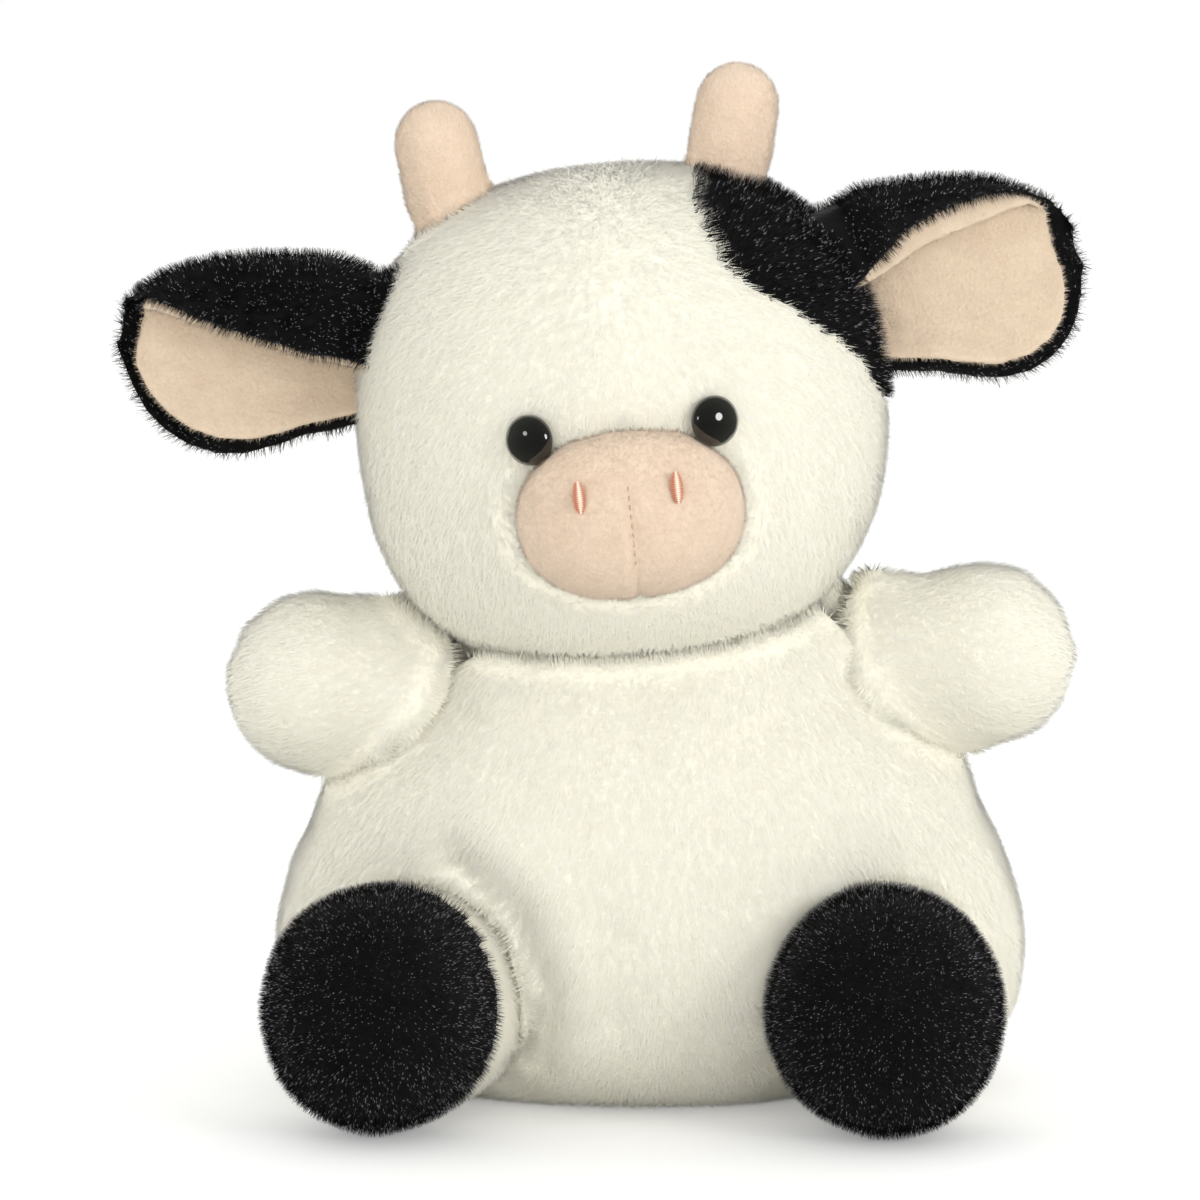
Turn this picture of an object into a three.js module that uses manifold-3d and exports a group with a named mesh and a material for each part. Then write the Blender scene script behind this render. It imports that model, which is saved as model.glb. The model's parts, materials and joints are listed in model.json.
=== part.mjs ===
// Sitting plush cow, a palm-size soft toy with a pellet-weighted seat
// Millimetres, +Z up, the face looks along -Y, left and right are the cow's own

import * as THREE from 'three';
import { mergeVertices } from 'three/addons/utils/BufferGeometryUtils.js';
import Module from 'manifold-3d';

const wasm = await Module();
wasm.setup();

// Cloth and clearances
const coverWall = 1.6;
const liningWall = 1.1;
const seamGap = 0.3;
const neckGap = 0.5;
const overrun = 6;

// Head, a ball flattened at the crown and fuller at the cheeks
const headHalfWidth = 33;
const headHalfDepth = 30;
const headHalfHeight = 30.3;
const headCrownFullness = 2.4;
const headCheekFullness = 2.9;
const headX = 2.7;
const headForward = 2;
const chinHeight = 54.8;
const headRoll = 6;
const headSeamY = 4.5;
const neckRadius = 10.2;
const neckDepth = 6.2;
const nodLimit = 8;
const turnLimit = 25;

// Black patch on the head, as shares of the head's half sizes
const patchOutlineShares = [
  [0.36, -0.07, 0.96], [0.362, -0.517, 0.846], [0.391, -0.674, 0.716],
  [0.443, -0.744, 0.598], [0.543, -0.734, 0.507], [0.678, -0.674, 0.388],
  [0.815, -0.55, 0.262], [0.919, -0.387, 0.134], [0.975, -0.21, -0.01],
  [0.98, 0.1, -0.06], [0.9, 0.42, 0.04], [0.73, 0.6, 0.28],
  [0.52, 0.6, 0.56], [0.38, 0.42, 0.81],
];
const patchSteps = 30;

// Muzzle and nostrils
const muzzleHalfWidth = 14.4;
const muzzleHalfDepth = 10;
const muzzleHalfHeight = 10.7;
const muzzleFullness = 2.3;
const muzzleDrop = 9;
const muzzleSink = 2.6;
const nostrilSpread = 5.6;
const nostrilRise = 3;
const nostrilHalfWidth = 0.75;
const nostrilHalfDepth = 0.95;
const nostrilHalfHeight = 1.6;

// Eyes, domed plastic with a shank and a lock washer behind the cloth
const eyeSpread = 11.3;
const eyeRise = 0.6;
const eyeRadius = 3.05;
const eyeDome = 2.3;
const eyeEdge = 0.5;
const eyePocket = 1;
const shankRadius = 1.1;
const shankLength = 5.2;
const washerRadius = 2.8;
const washerWall = 0.8;

// Horns
const hornRadius = 5.5;
const hornTipRadius = 5.2;
const hornLength = 12.8;
const hornRoot = 5;
const leftHornShare = 0.479;
const leftHornLean = 15;
const rightHornShare = 0.5515;
const rightHornLean = 6;

// Ears, a leaf folded forward over its own top edge
const earLength = 29;
const earRootRun = 2.5;
const earBackWall = 1.6;
const earBottom = 16.2;
const earFlap = 12.2;
const earFoldRadius = 2.7;
const earTipFoldRadius = 1.6;
const earCup = 2.6;
const earRim = 1.1;
const earTipRim = 2.6;
const leftEarLip = 3;
const rightEarLip = 0.7;
const earSeatForward = 6;
const earSeatZ = 13;
const earFlapLimit = 18;
const leftEarTop = 10.8;
const leftEarTilt = 26;
const leftEarDroop = 0.38;
const leftEarSweep = 25;
const rightEarTop = 8.3;
const rightEarTilt = 18.5;
const rightEarDroop = 0.17;
const rightEarSweep = 0;
const earTopShares = [[0, 1], [0.35, 0.98], [0.65, 0.87], [0.86, 0.6], [1, 0.12]];
const leftEarBottomShares = [[0, 0.68], [0.2, 0.88], [0.42, 1], [0.66, 0.87], [0.86, 0.54], [1, 0.12]];
const rightEarBottomShares = [[0, 0.68], [0.2, 0.88], [0.42, 1], [0.66, 0.9], [0.86, 0.6], [1, 0.12]];
const leftEarFlapShares = [[0, 1], [0.12, 0.7], [0.25, 0.46], [0.5, 0.27], [0.75, 0.21], [1, 0.14]];
const rightEarFlapShares = [[0, 1], [0.35, 0.78], [0.7, 0.5], [0.9, 0.24], [1, 0.05]];
const leftEarLipShares = [[0, 0.2], [0.15, 0.8], [0.3, 1], [0.55, 1], [0.8, 0.5], [0.92, -0.1], [1, -0.3]];
const rightEarLipShares = [[0, 1], [1, 1]];
const leftEarFoldTurnShares = [[0, 1], [0.5, 1], [0.8, 0.7], [1, 0.3]];
const rightEarFoldTurnShares = [[0, 1], [0.6, 1], [1, 0.6]];

// Body, a pear on a flat seat
const bodyHeight = 70;
const bodyHalfWidth = 47.2;
const bodyFrontDepth = 28;
const bodyBackDepth = 30;
const bodyFullness = 2.3;
const bodyX = 6.3;
const bodyY = 2;
const bodySeamY = 8.5;
const pelletFill = 25;
const bodyWidthShares = [
  [0, 0.72], [0.03, 0.83], [0.09, 0.93], [0.18, 0.985], [0.29, 1], [0.42, 0.945],
  [0.57, 0.83], [0.7, 0.67], [0.8, 0.57], [0.89, 0.535], [0.96, 0.47], [1, 0.3],
];
const bodyFrontShares = [
  [0, 0.52], [0.03, 0.66], [0.09, 0.82], [0.18, 0.94], [0.29, 1], [0.42, 0.985],
  [0.57, 0.92], [0.7, 0.84], [0.8, 0.76], [0.89, 0.69], [0.96, 0.6], [1, 0.42],
];
const bodyBackShares = [
  [0, 0.66], [0.03, 0.79], [0.09, 0.9], [0.18, 0.97], [0.29, 1], [0.42, 0.97],
  [0.57, 0.89], [0.7, 0.79], [0.8, 0.72], [0.89, 0.67], [0.96, 0.58], [1, 0.4],
];

// Arms
const armRootRadius = 10.4;
const armWaistRadius = 10.8;
const armRadius = 11.8;
const armSwell = 10;
const armReach = 21;
const armFlatten = 0.84;
const armOpening = 5;
const armUnderside = 1.5;
const armForward = 12;
const armLiftLimit = 20;
const shoulderForward = 3;
const leftShoulderZ = 54.7;
const leftShoulderOut = 3.6;
const leftArmRaise = 4;
const rightShoulderZ = 50.5;
const rightShoulderOut = 0.9;
const rightArmRaise = 8.5;

// Legs and feet
const legRootRadius = 14.7;
const legWaistRadius = 14.5;
const footRadius = 15.8;
const footFlatten = 0.94;
const footSwell = 11.5;
const footReach = 23;
const footSeam = 3.5;
const legOpening = 7;
const footFlat = 0.5;
const hipForward = 17;
const legLiftLimit = 9;
const leftFootSpread = 27.9;
const leftHipSpread = 27.6;
const rightFootSpread = 32.7;
const rightHipSpread = 27.7;

// Tail
const tailRootRadius = 3.1;
const tailRadius = 2.3;
const tailOut = 9;
const tailDrop = 13;
const tailSeatZ = 25;
const tuftRadius = 3.6;
const tuftLength = 8.5;

// Fineness of the faces
const headFacets = 26;
const headFacetRings = 16;
const innerFacets = 16;
const innerFacetRings = 11;
const bodyFacets = 26;
const roomFacets = 18;
const roomFacetRings = 12;
const muzzleFacets = 24;
const muzzleFacetRings = 14;
const limbFacets = 16;
const limbFacetRings = 10;
const smallFacets = 12;
const smallFacetRings = 8;
const limbSteps = 4;
const waistSteps = 3;
const earStations = 12;

const degrees = THREE.MathUtils.degToRad;
const upright = new THREE.Vector3(0, 0, 1);

// Materials
const whitePile = new THREE.MeshStandardMaterial({ color: '#f3f1e4', roughness: 0.95, metalness: 0 });
const blackPile = new THREE.MeshStandardMaterial({ color: '#121014', roughness: 0.9, metalness: 0 });
const peachPile = new THREE.MeshStandardMaterial({ color: '#f8d9be', roughness: 0.95, metalness: 0 });
const salmonThread = new THREE.MeshStandardMaterial({ color: '#e88c64', roughness: 0.6, metalness: 0 });
const eyePlastic = new THREE.MeshStandardMaterial({ color: '#080706', roughness: 0.08, metalness: 0 });
const washerPlastic = new THREE.MeshStandardMaterial({ color: '#e8e8e4', roughness: 0.5, metalness: 0 });
const fibreFill = new THREE.MeshStandardMaterial({ color: '#fafaf6', roughness: 1, metalness: 0 });
const pelletCloth = new THREE.MeshStandardMaterial({ color: '#dcdcd8', roughness: 0.8, metalness: 0 });

// Signed volume, to tell a body that faces in from one that faces out
function signedVolume(position, index) {
  const [a, b, c] = [new THREE.Vector3(), new THREE.Vector3(), new THREE.Vector3()];
  let sum = 0;
  for (let i = 0; i < index.count; i += 3) {
    a.fromBufferAttribute(position, index.getX(i));
    b.fromBufferAttribute(position, index.getX(i + 1));
    c.fromBufferAttribute(position, index.getX(i + 2));
    sum += a.dot(b.cross(c));
  }
  return sum;
}

// A closed geometry as a solid that faces out, where the matrix puts it
function solid(geometry, matrix = new THREE.Matrix4()) {
  const bare = geometry.clone().applyMatrix4(matrix);
  bare.deleteAttribute('normal');
  bare.deleteAttribute('uv');
  const merged = mergeVertices(bare);
  const triVerts = Uint32Array.from(merged.index.array);
  if (signedVolume(merged.attributes.position, merged.index) < 0) {
    for (let i = 0; i < triVerts.length; i += 3) {
      [triVerts[i], triVerts[i + 1]] = [triVerts[i + 1], triVerts[i]];
    }
  }
  const vertProperties = Float32Array.from(merged.attributes.position.array);
  return new wasm.Manifold(new wasm.Mesh({ numProp: 3, vertProperties, triVerts }));
}

function geometryOf(body) {
  const mesh = body.getMesh();
  const geometry = new THREE.BufferGeometry();
  geometry.setAttribute('position', new THREE.BufferAttribute(mesh.vertProperties, 3));
  geometry.setIndex(new THREE.BufferAttribute(mesh.triVerts, 1));
  geometry.computeVertexNormals();
  return geometry;
}

function addPiece(group, name, body, material) {
  const mesh = new THREE.Mesh(geometryOf(body), material);
  mesh.name = name;
  group.add(mesh);
}

// A smooth curve through a table of shares, read at one place
function shareAt(table, place) {
  const knots = new THREE.SplineCurve(table.map(([at, value]) => new THREE.Vector2(at, value)));
  let low = 0;
  let high = 1;
  for (let i = 0; i < 30; i += 1) {
    const middle = (low + high) / 2;
    if (knots.getPoint(middle).x < place) low = middle;
    else high = middle;
  }
  return knots.getPoint(low).y;
}

// A closed skin through rings of points, with a fan over each end
function loft(rings) {
  const around = rings[0].length;
  const points = rings.flat();
  const index = [];
  for (let i = 0; i + 1 < rings.length; i += 1) {
    for (let j = 0; j < around; j += 1) {
      const k = (j + 1) % around;
      const [a, b, c, d] = [i * around + j, i * around + k, (i + 1) * around + j, (i + 1) * around + k];
      index.push(a, b, d, a, d, c);
    }
  }
  for (const [first, flip] of [[0, true], [(rings.length - 1) * around, false]]) {
    const centre = new THREE.Vector3();
    for (let j = 0; j < around; j += 1) centre.addScaledVector(points[first + j], 1 / around);
    const hub = points.push(centre) - 1;
    for (let j = 0; j < around; j += 1) {
      const [a, b] = [first + j, first + ((j + 1) % around)];
      index.push(...(flip ? [hub, b, a] : [hub, a, b]));
    }
  }
  const geometry = new THREE.BufferGeometry().setFromPoints(points);
  return geometry.setIndex(index);
}

// A sheet with thickness between two grids of points
function slab(outer, inner) {
  const across = outer[0].length;
  const rows = outer.length;
  const points = [...outer.flat(), ...inner.flat()];
  const index = [];
  const at = (layer, i, j) => layer * rows * across + i * across + j;
  const quad = (a, b, c, d) => index.push(a, b, c, a, c, d);
  for (let i = 0; i + 1 < rows; i += 1) {
    for (let j = 0; j + 1 < across; j += 1) {
      quad(at(0, i, j), at(0, i, j + 1), at(0, i + 1, j + 1), at(0, i + 1, j));
      quad(at(1, i, j), at(1, i + 1, j), at(1, i + 1, j + 1), at(1, i, j + 1));
    }
    const last = across - 1;
    quad(at(0, i, 0), at(0, i + 1, 0), at(1, i + 1, 0), at(1, i, 0));
    quad(at(0, i, last), at(1, i, last), at(1, i + 1, last), at(0, i + 1, last));
  }
  for (let j = 0; j + 1 < across; j += 1) {
    const last = rows - 1;
    quad(at(0, 0, j), at(1, 0, j), at(1, 0, j + 1), at(0, 0, j + 1));
    quad(at(0, last, j), at(0, last, j + 1), at(1, last, j + 1), at(1, last, j));
  }
  return new THREE.BufferGeometry().setFromPoints(points).setIndex(index);
}

// A box from a low corner to a high corner
function block(low, high) {
  const size = new THREE.Vector3().subVectors(high, low);
  const box = new THREE.BoxGeometry(size.x, size.y, size.z);
  const centre = new THREE.Vector3().addVectors(low, high).multiplyScalar(1 / 2);
  return box.translate(centre.x, centre.y, centre.z);
}

// A turned body about Z from pairs of radius and height
function turned(pairs, facets) {
  const profile = pairs.map(([radius, height]) => new THREE.Vector2(radius, height));
  return new THREE.LatheGeometry(profile, facets).rotateX(Math.PI / 2);
}

function rod(radius, low, high, facets = smallFacets) {
  return turned([[0, low], [radius, low], [radius, high], [0, high]], facets);
}

// Distance from the centre of a rounded box-like ball to its skin
function ballRadius(way, halves, crown, cheek) {
  const fullness = way.z > 0 ? crown : cheek;
  const level = Math.hypot(way.x / halves.x, way.y / halves.y);
  const height = Math.abs(way.z) / halves.z;
  return (level ** fullness + height ** fullness) ** (-1 / fullness);
}

// A ball whose skin lies where reach says, along every direction
function ball(reach, facets, rings) {
  const geometry = new THREE.SphereGeometry(1, facets, rings).rotateX(Math.PI / 2);
  const position = geometry.attributes.position;
  const way = new THREE.Vector3();
  for (let i = 0; i < position.count; i += 1) {
    way.fromBufferAttribute(position, i).normalize();
    way.multiplyScalar(reach(way));
    position.setXYZ(i, way.x, way.y, way.z);
  }
  return geometry;
}

// Head form, grown or shrunk by a length
const headHalves = (grow) => new THREE.Vector3(
  headHalfWidth + grow,
  headHalfDepth + grow,
  headHalfHeight + grow,
);
const headReach = (way, grow) => ballRadius(way, headHalves(grow), headCrownFullness, headCheekFullness);
const headForm = (grow, facets = headFacets, rings = headFacetRings) => (
  ball((way) => headReach(way, grow), facets, rings)
);

// All the room that the head's skin needs as it nods and turns
function headRoom(clearance) {
  const poses = [];
  for (const nod of [-nodLimit, -nodLimit / 2, 0, nodLimit / 2, nodLimit]) {
    for (const turn of [-turnLimit, 0, turnLimit]) {
      const pose = new THREE.Euler(degrees(nod), 0, degrees(turn), 'XYZ');
      poses.push(new THREE.Matrix4().makeRotationFromEuler(pose).invert());
    }
  }
  const reach = (way) => {
    const turnedWay = new THREE.Vector3();
    return Math.max(...poses.map((pose) => (
      headReach(turnedWay.copy(way).applyMatrix4(pose), clearance)
    )));
  };
  return ball(reach, headFacets, headFacetRings);
}

// The point of the head's skin at a given x and z, on the face, and its outward direction
function onFace(x, z) {
  const fullness = z > 0 ? headCrownFullness : headCheekFullness;
  const height = Math.abs(z) / headHalfHeight;
  const level = (1 - height ** fullness) ** (2 / fullness) - (x / headHalfWidth) ** 2;
  const y = -headHalfDepth * Math.sqrt(Math.max(level, 0));
  const across = Math.hypot(x / headHalfWidth, y / headHalfDepth) ** (fullness - 2);
  const out = new THREE.Vector3(
    (across * x) / headHalfWidth ** 2,
    (across * y) / headHalfDepth ** 2,
    (Math.sign(z) * height ** (fullness - 1)) / headHalfHeight,
  ).normalize();
  return { point: new THREE.Vector3(x, y, z), out };
}

// Height of the crown above the head's centre at a given x
function crownAt(x) {
  const level = Math.abs(x) / headHalfWidth;
  return headHalfHeight * (1 - level ** headCrownFullness) ** (1 / headCrownFullness);
}

// Body form, grown or shrunk by a length, with its flat seat at the ground or lifted by the shrink
function bodyHalf(table, depth, z) {
  return depth * shareAt(table, THREE.MathUtils.clamp(z / bodyHeight, 0, 1));
}
const bodyWidthAt = (z) => bodyHalf(bodyWidthShares, bodyHalfWidth, z);
const bodyBackAt = (z) => bodyHalf(bodyBackShares, bodyBackDepth, z);

function bodyForm(grow, facets = bodyFacets) {
  const rings = bodyWidthShares.map(([share], row) => {
    const z = share * (bodyHeight + 2 * grow) - grow;
    const ring = [];
    for (let j = 0; j < facets; j += 1) {
      const angle = (2 * Math.PI * j) / facets;
      const [c, s] = [Math.cos(angle), Math.sin(angle)];
      const depth = s < 0
        ? bodyFrontDepth * bodyFrontShares[row][1]
        : bodyBackDepth * bodyBackShares[row][1];
      const width = bodyHalfWidth * bodyWidthShares[row][1];
      const power = 2 / bodyFullness;
      ring.push(new THREE.Vector3(
        bodyX + (width + grow) * Math.sign(c) * Math.abs(c) ** power,
        bodyY + (depth + grow) * Math.sign(s) * Math.abs(s) ** power,
        z,
      ));
    }
    return ring;
  });
  return loft(rings);
}

// A limb's radius between its root and its swell, drawn in or out at the waist
function limbRadius(limb, share) {
  const rest = 1 - share;
  return rest * rest * limb.root + 2 * rest * share * limb.waist + share * share * limb.radius;
}

// Limb along +X from a round root at the origin to a swollen, rounded end
function limbForm(limb, grow, facets = limbFacets) {
  const root = limb.root + grow;
  const swell = limb.radius + grow;
  const tip = limb.reach - limb.swell + grow;
  const stations = [];
  for (let i = 0; i < limbSteps; i += 1) {
    const angle = (Math.PI / 2) * ((i + 1 / 3) / limbSteps);
    stations.push([-root * Math.cos(angle), root * Math.sin(angle)]);
  }
  for (let i = 0; i < waistSteps; i += 1) {
    const share = i / waistSteps;
    stations.push([limb.swell * share, limbRadius(limb, share) + grow]);
  }
  for (let i = 0; i < limbSteps; i += 1) {
    const angle = (Math.PI / 2) * (i / (limbSteps - 2 / 3));
    stations.push([limb.swell + tip * Math.sin(angle), swell * Math.cos(angle)]);
  }
  const rings = stations.map(([x, radius]) => {
    const ring = [];
    for (let j = 0; j < facets; j += 1) {
      const angle = (2 * Math.PI * j) / facets;
      ring.push(new THREE.Vector3(
        x,
        radius * limb.flatten * Math.cos(angle),
        radius * Math.sin(angle),
      ));
    }
    return ring;
  });
  return loft(rings);
}

// Distance from a limb's root to its skin along a direction
function limbReach(limb, way, grow) {
  const inside = (distance) => {
    const [x, y, z] = [way.x * distance, way.y * distance, way.z * distance];
    const out = Math.hypot(y / limb.flatten, z);
    if (x < 0) return Math.hypot(x, out) < limb.root + grow;
    if (x < limb.swell) {
      return out < limbRadius(limb, x / limb.swell) + grow;
    }
    const share = (x - limb.swell) / (limb.reach - limb.swell + grow);
    return Math.hypot(share, out / (limb.radius + grow)) < 1;
  };
  let low = 0;
  let high = 2 * limb.reach;
  for (let i = 0; i < 24; i += 1) {
    const middle = (low + high) / 2;
    if (inside(middle)) low = middle;
    else high = middle;
  }
  return low;
}

// All the room that a limb needs as it lifts about its own Y
function limbRoom(limb, lifts, clearance) {
  const turnedWay = new THREE.Vector3();
  const hinge = new THREE.Vector3(0, 1, 0);
  const reach = (way) => Math.max(...lifts.map((lift) => (
    limbReach(limb, turnedWay.copy(way).applyAxisAngle(hinge, degrees(lift)), clearance)
  )));
  return ball(reach, roomFacets, roomFacetRings);
}

const armLimb = {
  root: armRootRadius,
  waist: armWaistRadius,
  radius: armRadius,
  swell: armSwell,
  reach: armReach,
  flatten: armFlatten,
};
const legLimb = {
  root: legRootRadius,
  waist: legWaistRadius,
  radius: footRadius,
  swell: footSwell,
  reach: footReach,
  flatten: footFlatten,
};

// Groups and seats
const cow = new THREE.Group();
const head = new THREE.Group();
head.position.set(headX, -headForward, chinHeight + headHalfHeight);
head.rotation.y = -degrees(headRoll);
head.updateMatrix();
cow.add(head);

// An arm, pivoting about its own Y at the shoulder; side is 1 for the cow's left
function armSeat(side, z, out, raise) {
  const seat = new THREE.Group();
  seat.position.set(bodyX + side * (bodyWidthAt(z) + out), -shoulderForward, z);
  const heading = side > 0 ? -degrees(armForward) : Math.PI + degrees(armForward);
  seat.rotation.set(0, -degrees(raise), heading, 'ZYX');
  seat.updateMatrix();
  cow.add(seat);
  return seat;
}
const leftArm = armSeat(1, leftShoulderZ, leftShoulderOut, leftArmRaise);
const rightArm = armSeat(-1, rightShoulderZ, rightShoulderOut, rightArmRaise);

// A leg, pivoting about X at the hip; its own X runs from the hip to the middle of the foot
function legSeat(side, footSpread, hipSpread) {
  const seat = new THREE.Group();
  const hip = new THREE.Vector3(bodyX + side * hipSpread, -hipForward, footRadius - footFlat);
  const foot = new THREE.Vector3(bodyX + side * footSpread, -hipForward - footSwell, hip.z);
  const along = new THREE.Vector3().subVectors(foot, hip).normalize();
  const sideways = new THREE.Vector3().crossVectors(upright, along);
  seat.matrix.makeBasis(along, sideways, upright).setPosition(hip);
  seat.matrix.decompose(seat.position, seat.quaternion, seat.scale);
  cow.add(seat);
  return seat;
}
const leftLeg = legSeat(1, leftFootSpread, leftHipSpread);
const rightLeg = legSeat(-1, rightFootSpread, rightHipSpread);

const tail = new THREE.Group();
tail.position.set(bodyX, bodyY + bodyBackAt(tailSeatZ), tailSeatZ);
tail.updateMatrix();
cow.add(tail);

// Head panels: face, back and black patch, sewn round one ball of stuffing
function patchCone(grow) {
  const corners = patchOutlineShares.map(([x, y, z]) => (
    new THREE.Vector3(x * headHalfWidth, y * headHalfDepth, z * headHalfHeight).normalize()
  ));
  const middle = corners.reduce((sum, corner) => sum.add(corner), new THREE.Vector3()).normalize();
  const outline = new THREE.CatmullRomCurve3(corners, true).getPoints(patchSteps).slice(0, -1);
  const far = headHalfWidth * 2;
  const spread = grow / headHalfWidth;
  const rim = outline.map((way) => (
    way.clone().normalize().addScaledVector(middle, -spread).normalize().multiplyScalar(far)
  ));
  const points = [...rim, new THREE.Vector3(), middle.clone().multiplyScalar(far)];
  const [apex, hub] = [rim.length, rim.length + 1];
  const index = [];
  rim.forEach((_, i) => {
    const next = (i + 1) % rim.length;
    index.push(i, next, hub, next, i, apex);
  });
  return new THREE.BufferGeometry().setFromPoints(points).setIndex(index);
}

// Where each eye sits, its axis along the head's outward direction
function eyeSeat(side) {
  const { point, out } = onFace(side * eyeSpread, eyeRise);
  const turn = new THREE.Quaternion().setFromUnitVectors(upright, out);
  return new THREE.Matrix4().compose(point, turn, new THREE.Vector3(1, 1, 1));
}

function eyeGeometry() {
  const back = seamGap - eyePocket;
  const profile = [[0, -shankLength], [shankRadius, -shankLength], [shankRadius, back]];
  const steps = 5;
  for (let i = 0; i <= steps; i += 1) {
    const angle = (Math.PI / 2) * (i / steps);
    profile.push([eyeRadius * Math.cos(angle), back + eyeEdge + (eyeDome - eyeEdge) * Math.sin(angle)]);
  }
  profile.splice(3, 0, [eyeRadius, back]);
  profile[profile.length - 1][0] = 0;
  return turned(profile, smallFacets);
}

function washerGeometry() {
  const face = -coverWall - seamGap;
  const bore = shankRadius + seamGap;
  const [low, high] = [face - washerWall, face];
  return turned([[bore, low], [washerRadius, low], [washerRadius, high], [bore, high], [bore, low]], smallFacets);
}

const headSolid = solid(headForm(0));
const headHollow = solid(headForm(-coverWall, innerFacets, innerFacetRings));
const headRest = solid(headForm(seamGap));
const neckFloor = -(headHalfHeight - coverWall - neckDepth);
const neckBore = solid(rod(neckRadius + seamGap, -headHalfHeight - overrun, neckFloor, innerFacets));

let headShell = headSolid.subtract(headHollow).subtract(neckBore);
const fillShrink = -(coverWall + seamGap);
let headFill = solid(headForm(fillShrink, innerFacets, innerFacetRings)).subtract(neckBore);
for (const side of [1, -1]) {
  const seat = eyeSeat(side);
  const pocket = solid(rod(eyeRadius + seamGap, -eyePocket, overrun), seat);
  const hole = solid(rod(shankRadius + seamGap, -overrun, 0), seat);
  const well = solid(rod(washerRadius + seamGap, -shankLength - seamGap, overrun), seat);
  const recess = solid(rod(washerRadius + seamGap, -shankLength - seamGap, -coverWall), seat);
  headShell = headShell.subtract(pocket).subtract(hole).subtract(recess);
  headFill = headFill.subtract(well);
}
const far = headHalfWidth * 2;
const frontHalf = solid(block(
  new THREE.Vector3(-far, -far, -far),
  new THREE.Vector3(far, headSeamY - seamGap / 2, far),
));
const backHalf = solid(block(
  new THREE.Vector3(-far, headSeamY + seamGap / 2, -far),
  new THREE.Vector3(far, far, far),
));
const whiteShell = headShell.subtract(solid(patchCone(seamGap)));
addPiece(head, 'head_face', whiteShell.intersect(frontHalf), whitePile);
addPiece(head, 'head_back', whiteShell.intersect(backHalf), whitePile);
addPiece(head, 'head_patch', headShell.intersect(solid(patchCone(0))), blackPile);
addPiece(head, 'head_stuffing', headFill, fibreFill);
const neckPlug = rod(neckRadius, -headHalfHeight, neckFloor - seamGap, innerFacets);
addPiece(head, 'neck_stuffing', solid(neckPlug).intersect(headSolid), fibreFill);

for (const [name, side] of [['left', 1], ['right', -1]]) {
  const seat = eyeSeat(side);
  addPiece(head, `eye_${name}`, solid(eyeGeometry(), seat), eyePlastic);
  addPiece(head, `eye_washer_${name}`, solid(washerGeometry(), seat), washerPlastic);
}

// Muzzle, a stuffed dome sewn over the face, with satin-stitched nostrils
const muzzlePlace = onFace(0, -muzzleDrop).point;
muzzlePlace.y += muzzleSink;
const muzzleSeat = new THREE.Matrix4().setPosition(muzzlePlace);
const muzzleHalves = (grow) => new THREE.Vector3(
  muzzleHalfWidth + grow,
  muzzleHalfDepth + grow,
  muzzleHalfHeight + grow,
);
function muzzleForm(grow) {
  const reach = (way) => ballRadius(way, muzzleHalves(grow), muzzleFullness, muzzleFullness);
  return ball(reach, muzzleFacets, muzzleFacetRings);
}
const muzzleHollow = solid(muzzleForm(-liningWall), muzzleSeat);
let muzzleShell = solid(muzzleForm(0), muzzleSeat).subtract(muzzleHollow).subtract(headRest);
for (const side of [1, -1]) {
  const eyeRoom = rod(eyeRadius + seamGap, -eyePocket, overrun);
  muzzleShell = muzzleShell.subtract(solid(eyeRoom, eyeSeat(side)));
}
addPiece(head, 'muzzle_cover', muzzleShell, peachPile);
const muzzleFill = solid(muzzleForm(-liningWall - seamGap), muzzleSeat).subtract(headRest);
addPiece(head, 'muzzle_stuffing', muzzleFill, fibreFill);
const muzzleRest = solid(muzzleForm(seamGap), muzzleSeat);
for (const [name, side] of [['left', 1], ['right', -1]]) {
  const way = new THREE.Vector3(side * nostrilSpread, 0, nostrilRise);
  const spread = Math.hypot(way.x / muzzleHalfWidth, way.z / muzzleHalfHeight);
  way.y = -muzzleHalfDepth * Math.sqrt(1 - spread ** 2);
  way.normalize();
  const reach = ballRadius(way, muzzleHalves(0), muzzleFullness, muzzleFullness);
  const place = way.multiplyScalar(reach).add(muzzlePlace);
  const halves = new THREE.Vector3(nostrilHalfWidth, nostrilHalfDepth, nostrilHalfHeight);
  const stitch = ball((toward) => ballRadius(toward, halves, 2, 2), smallFacets, smallFacetRings);
  const body = solid(stitch, new THREE.Matrix4().setPosition(place)).subtract(muzzleRest);
  addPiece(head, `nostril_stitch_${name}`, body, salmonThread);
}

// Horns, stuffed stubs that lean out from the crown
function hornForm(grow) {
  const profile = [[0, -hornRoot], [hornRadius + grow, -hornRoot]];
  const tip = hornTipRadius + grow;
  const shoulder = hornLength - hornTipRadius;
  const steps = 5;
  for (let i = 0; i <= steps; i += 1) {
    const angle = (Math.PI / 2) * (i / steps);
    profile.push([tip * Math.cos(angle), shoulder + tip * Math.sin(angle)]);
  }
  profile[profile.length - 1][0] = 0;
  return turned(profile, smallFacets);
}
for (const [name, side, share, lean] of [
  ['left', 1, leftHornShare, leftHornLean],
  ['right', -1, rightHornShare, rightHornLean],
]) {
  const x = share * headHalfWidth;
  const turn = new THREE.Quaternion().setFromAxisAngle(new THREE.Vector3(0, 1, 0), side * degrees(lean));
  const place = new THREE.Vector3(side * x, 0, crownAt(x));
  const seat = new THREE.Matrix4().compose(place, turn, new THREE.Vector3(1, 1, 1));
  const hollow = solid(hornForm(-liningWall), seat);
  const cover = solid(hornForm(0), seat).subtract(hollow).subtract(headRest);
  addPiece(head, `horn_cover_${name}`, cover, peachPile);
  const fill = solid(hornForm(-liningWall - seamGap), seat).subtract(headRest);
  addPiece(head, `horn_stuffing_${name}`, fill, fibreFill);
}

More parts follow.
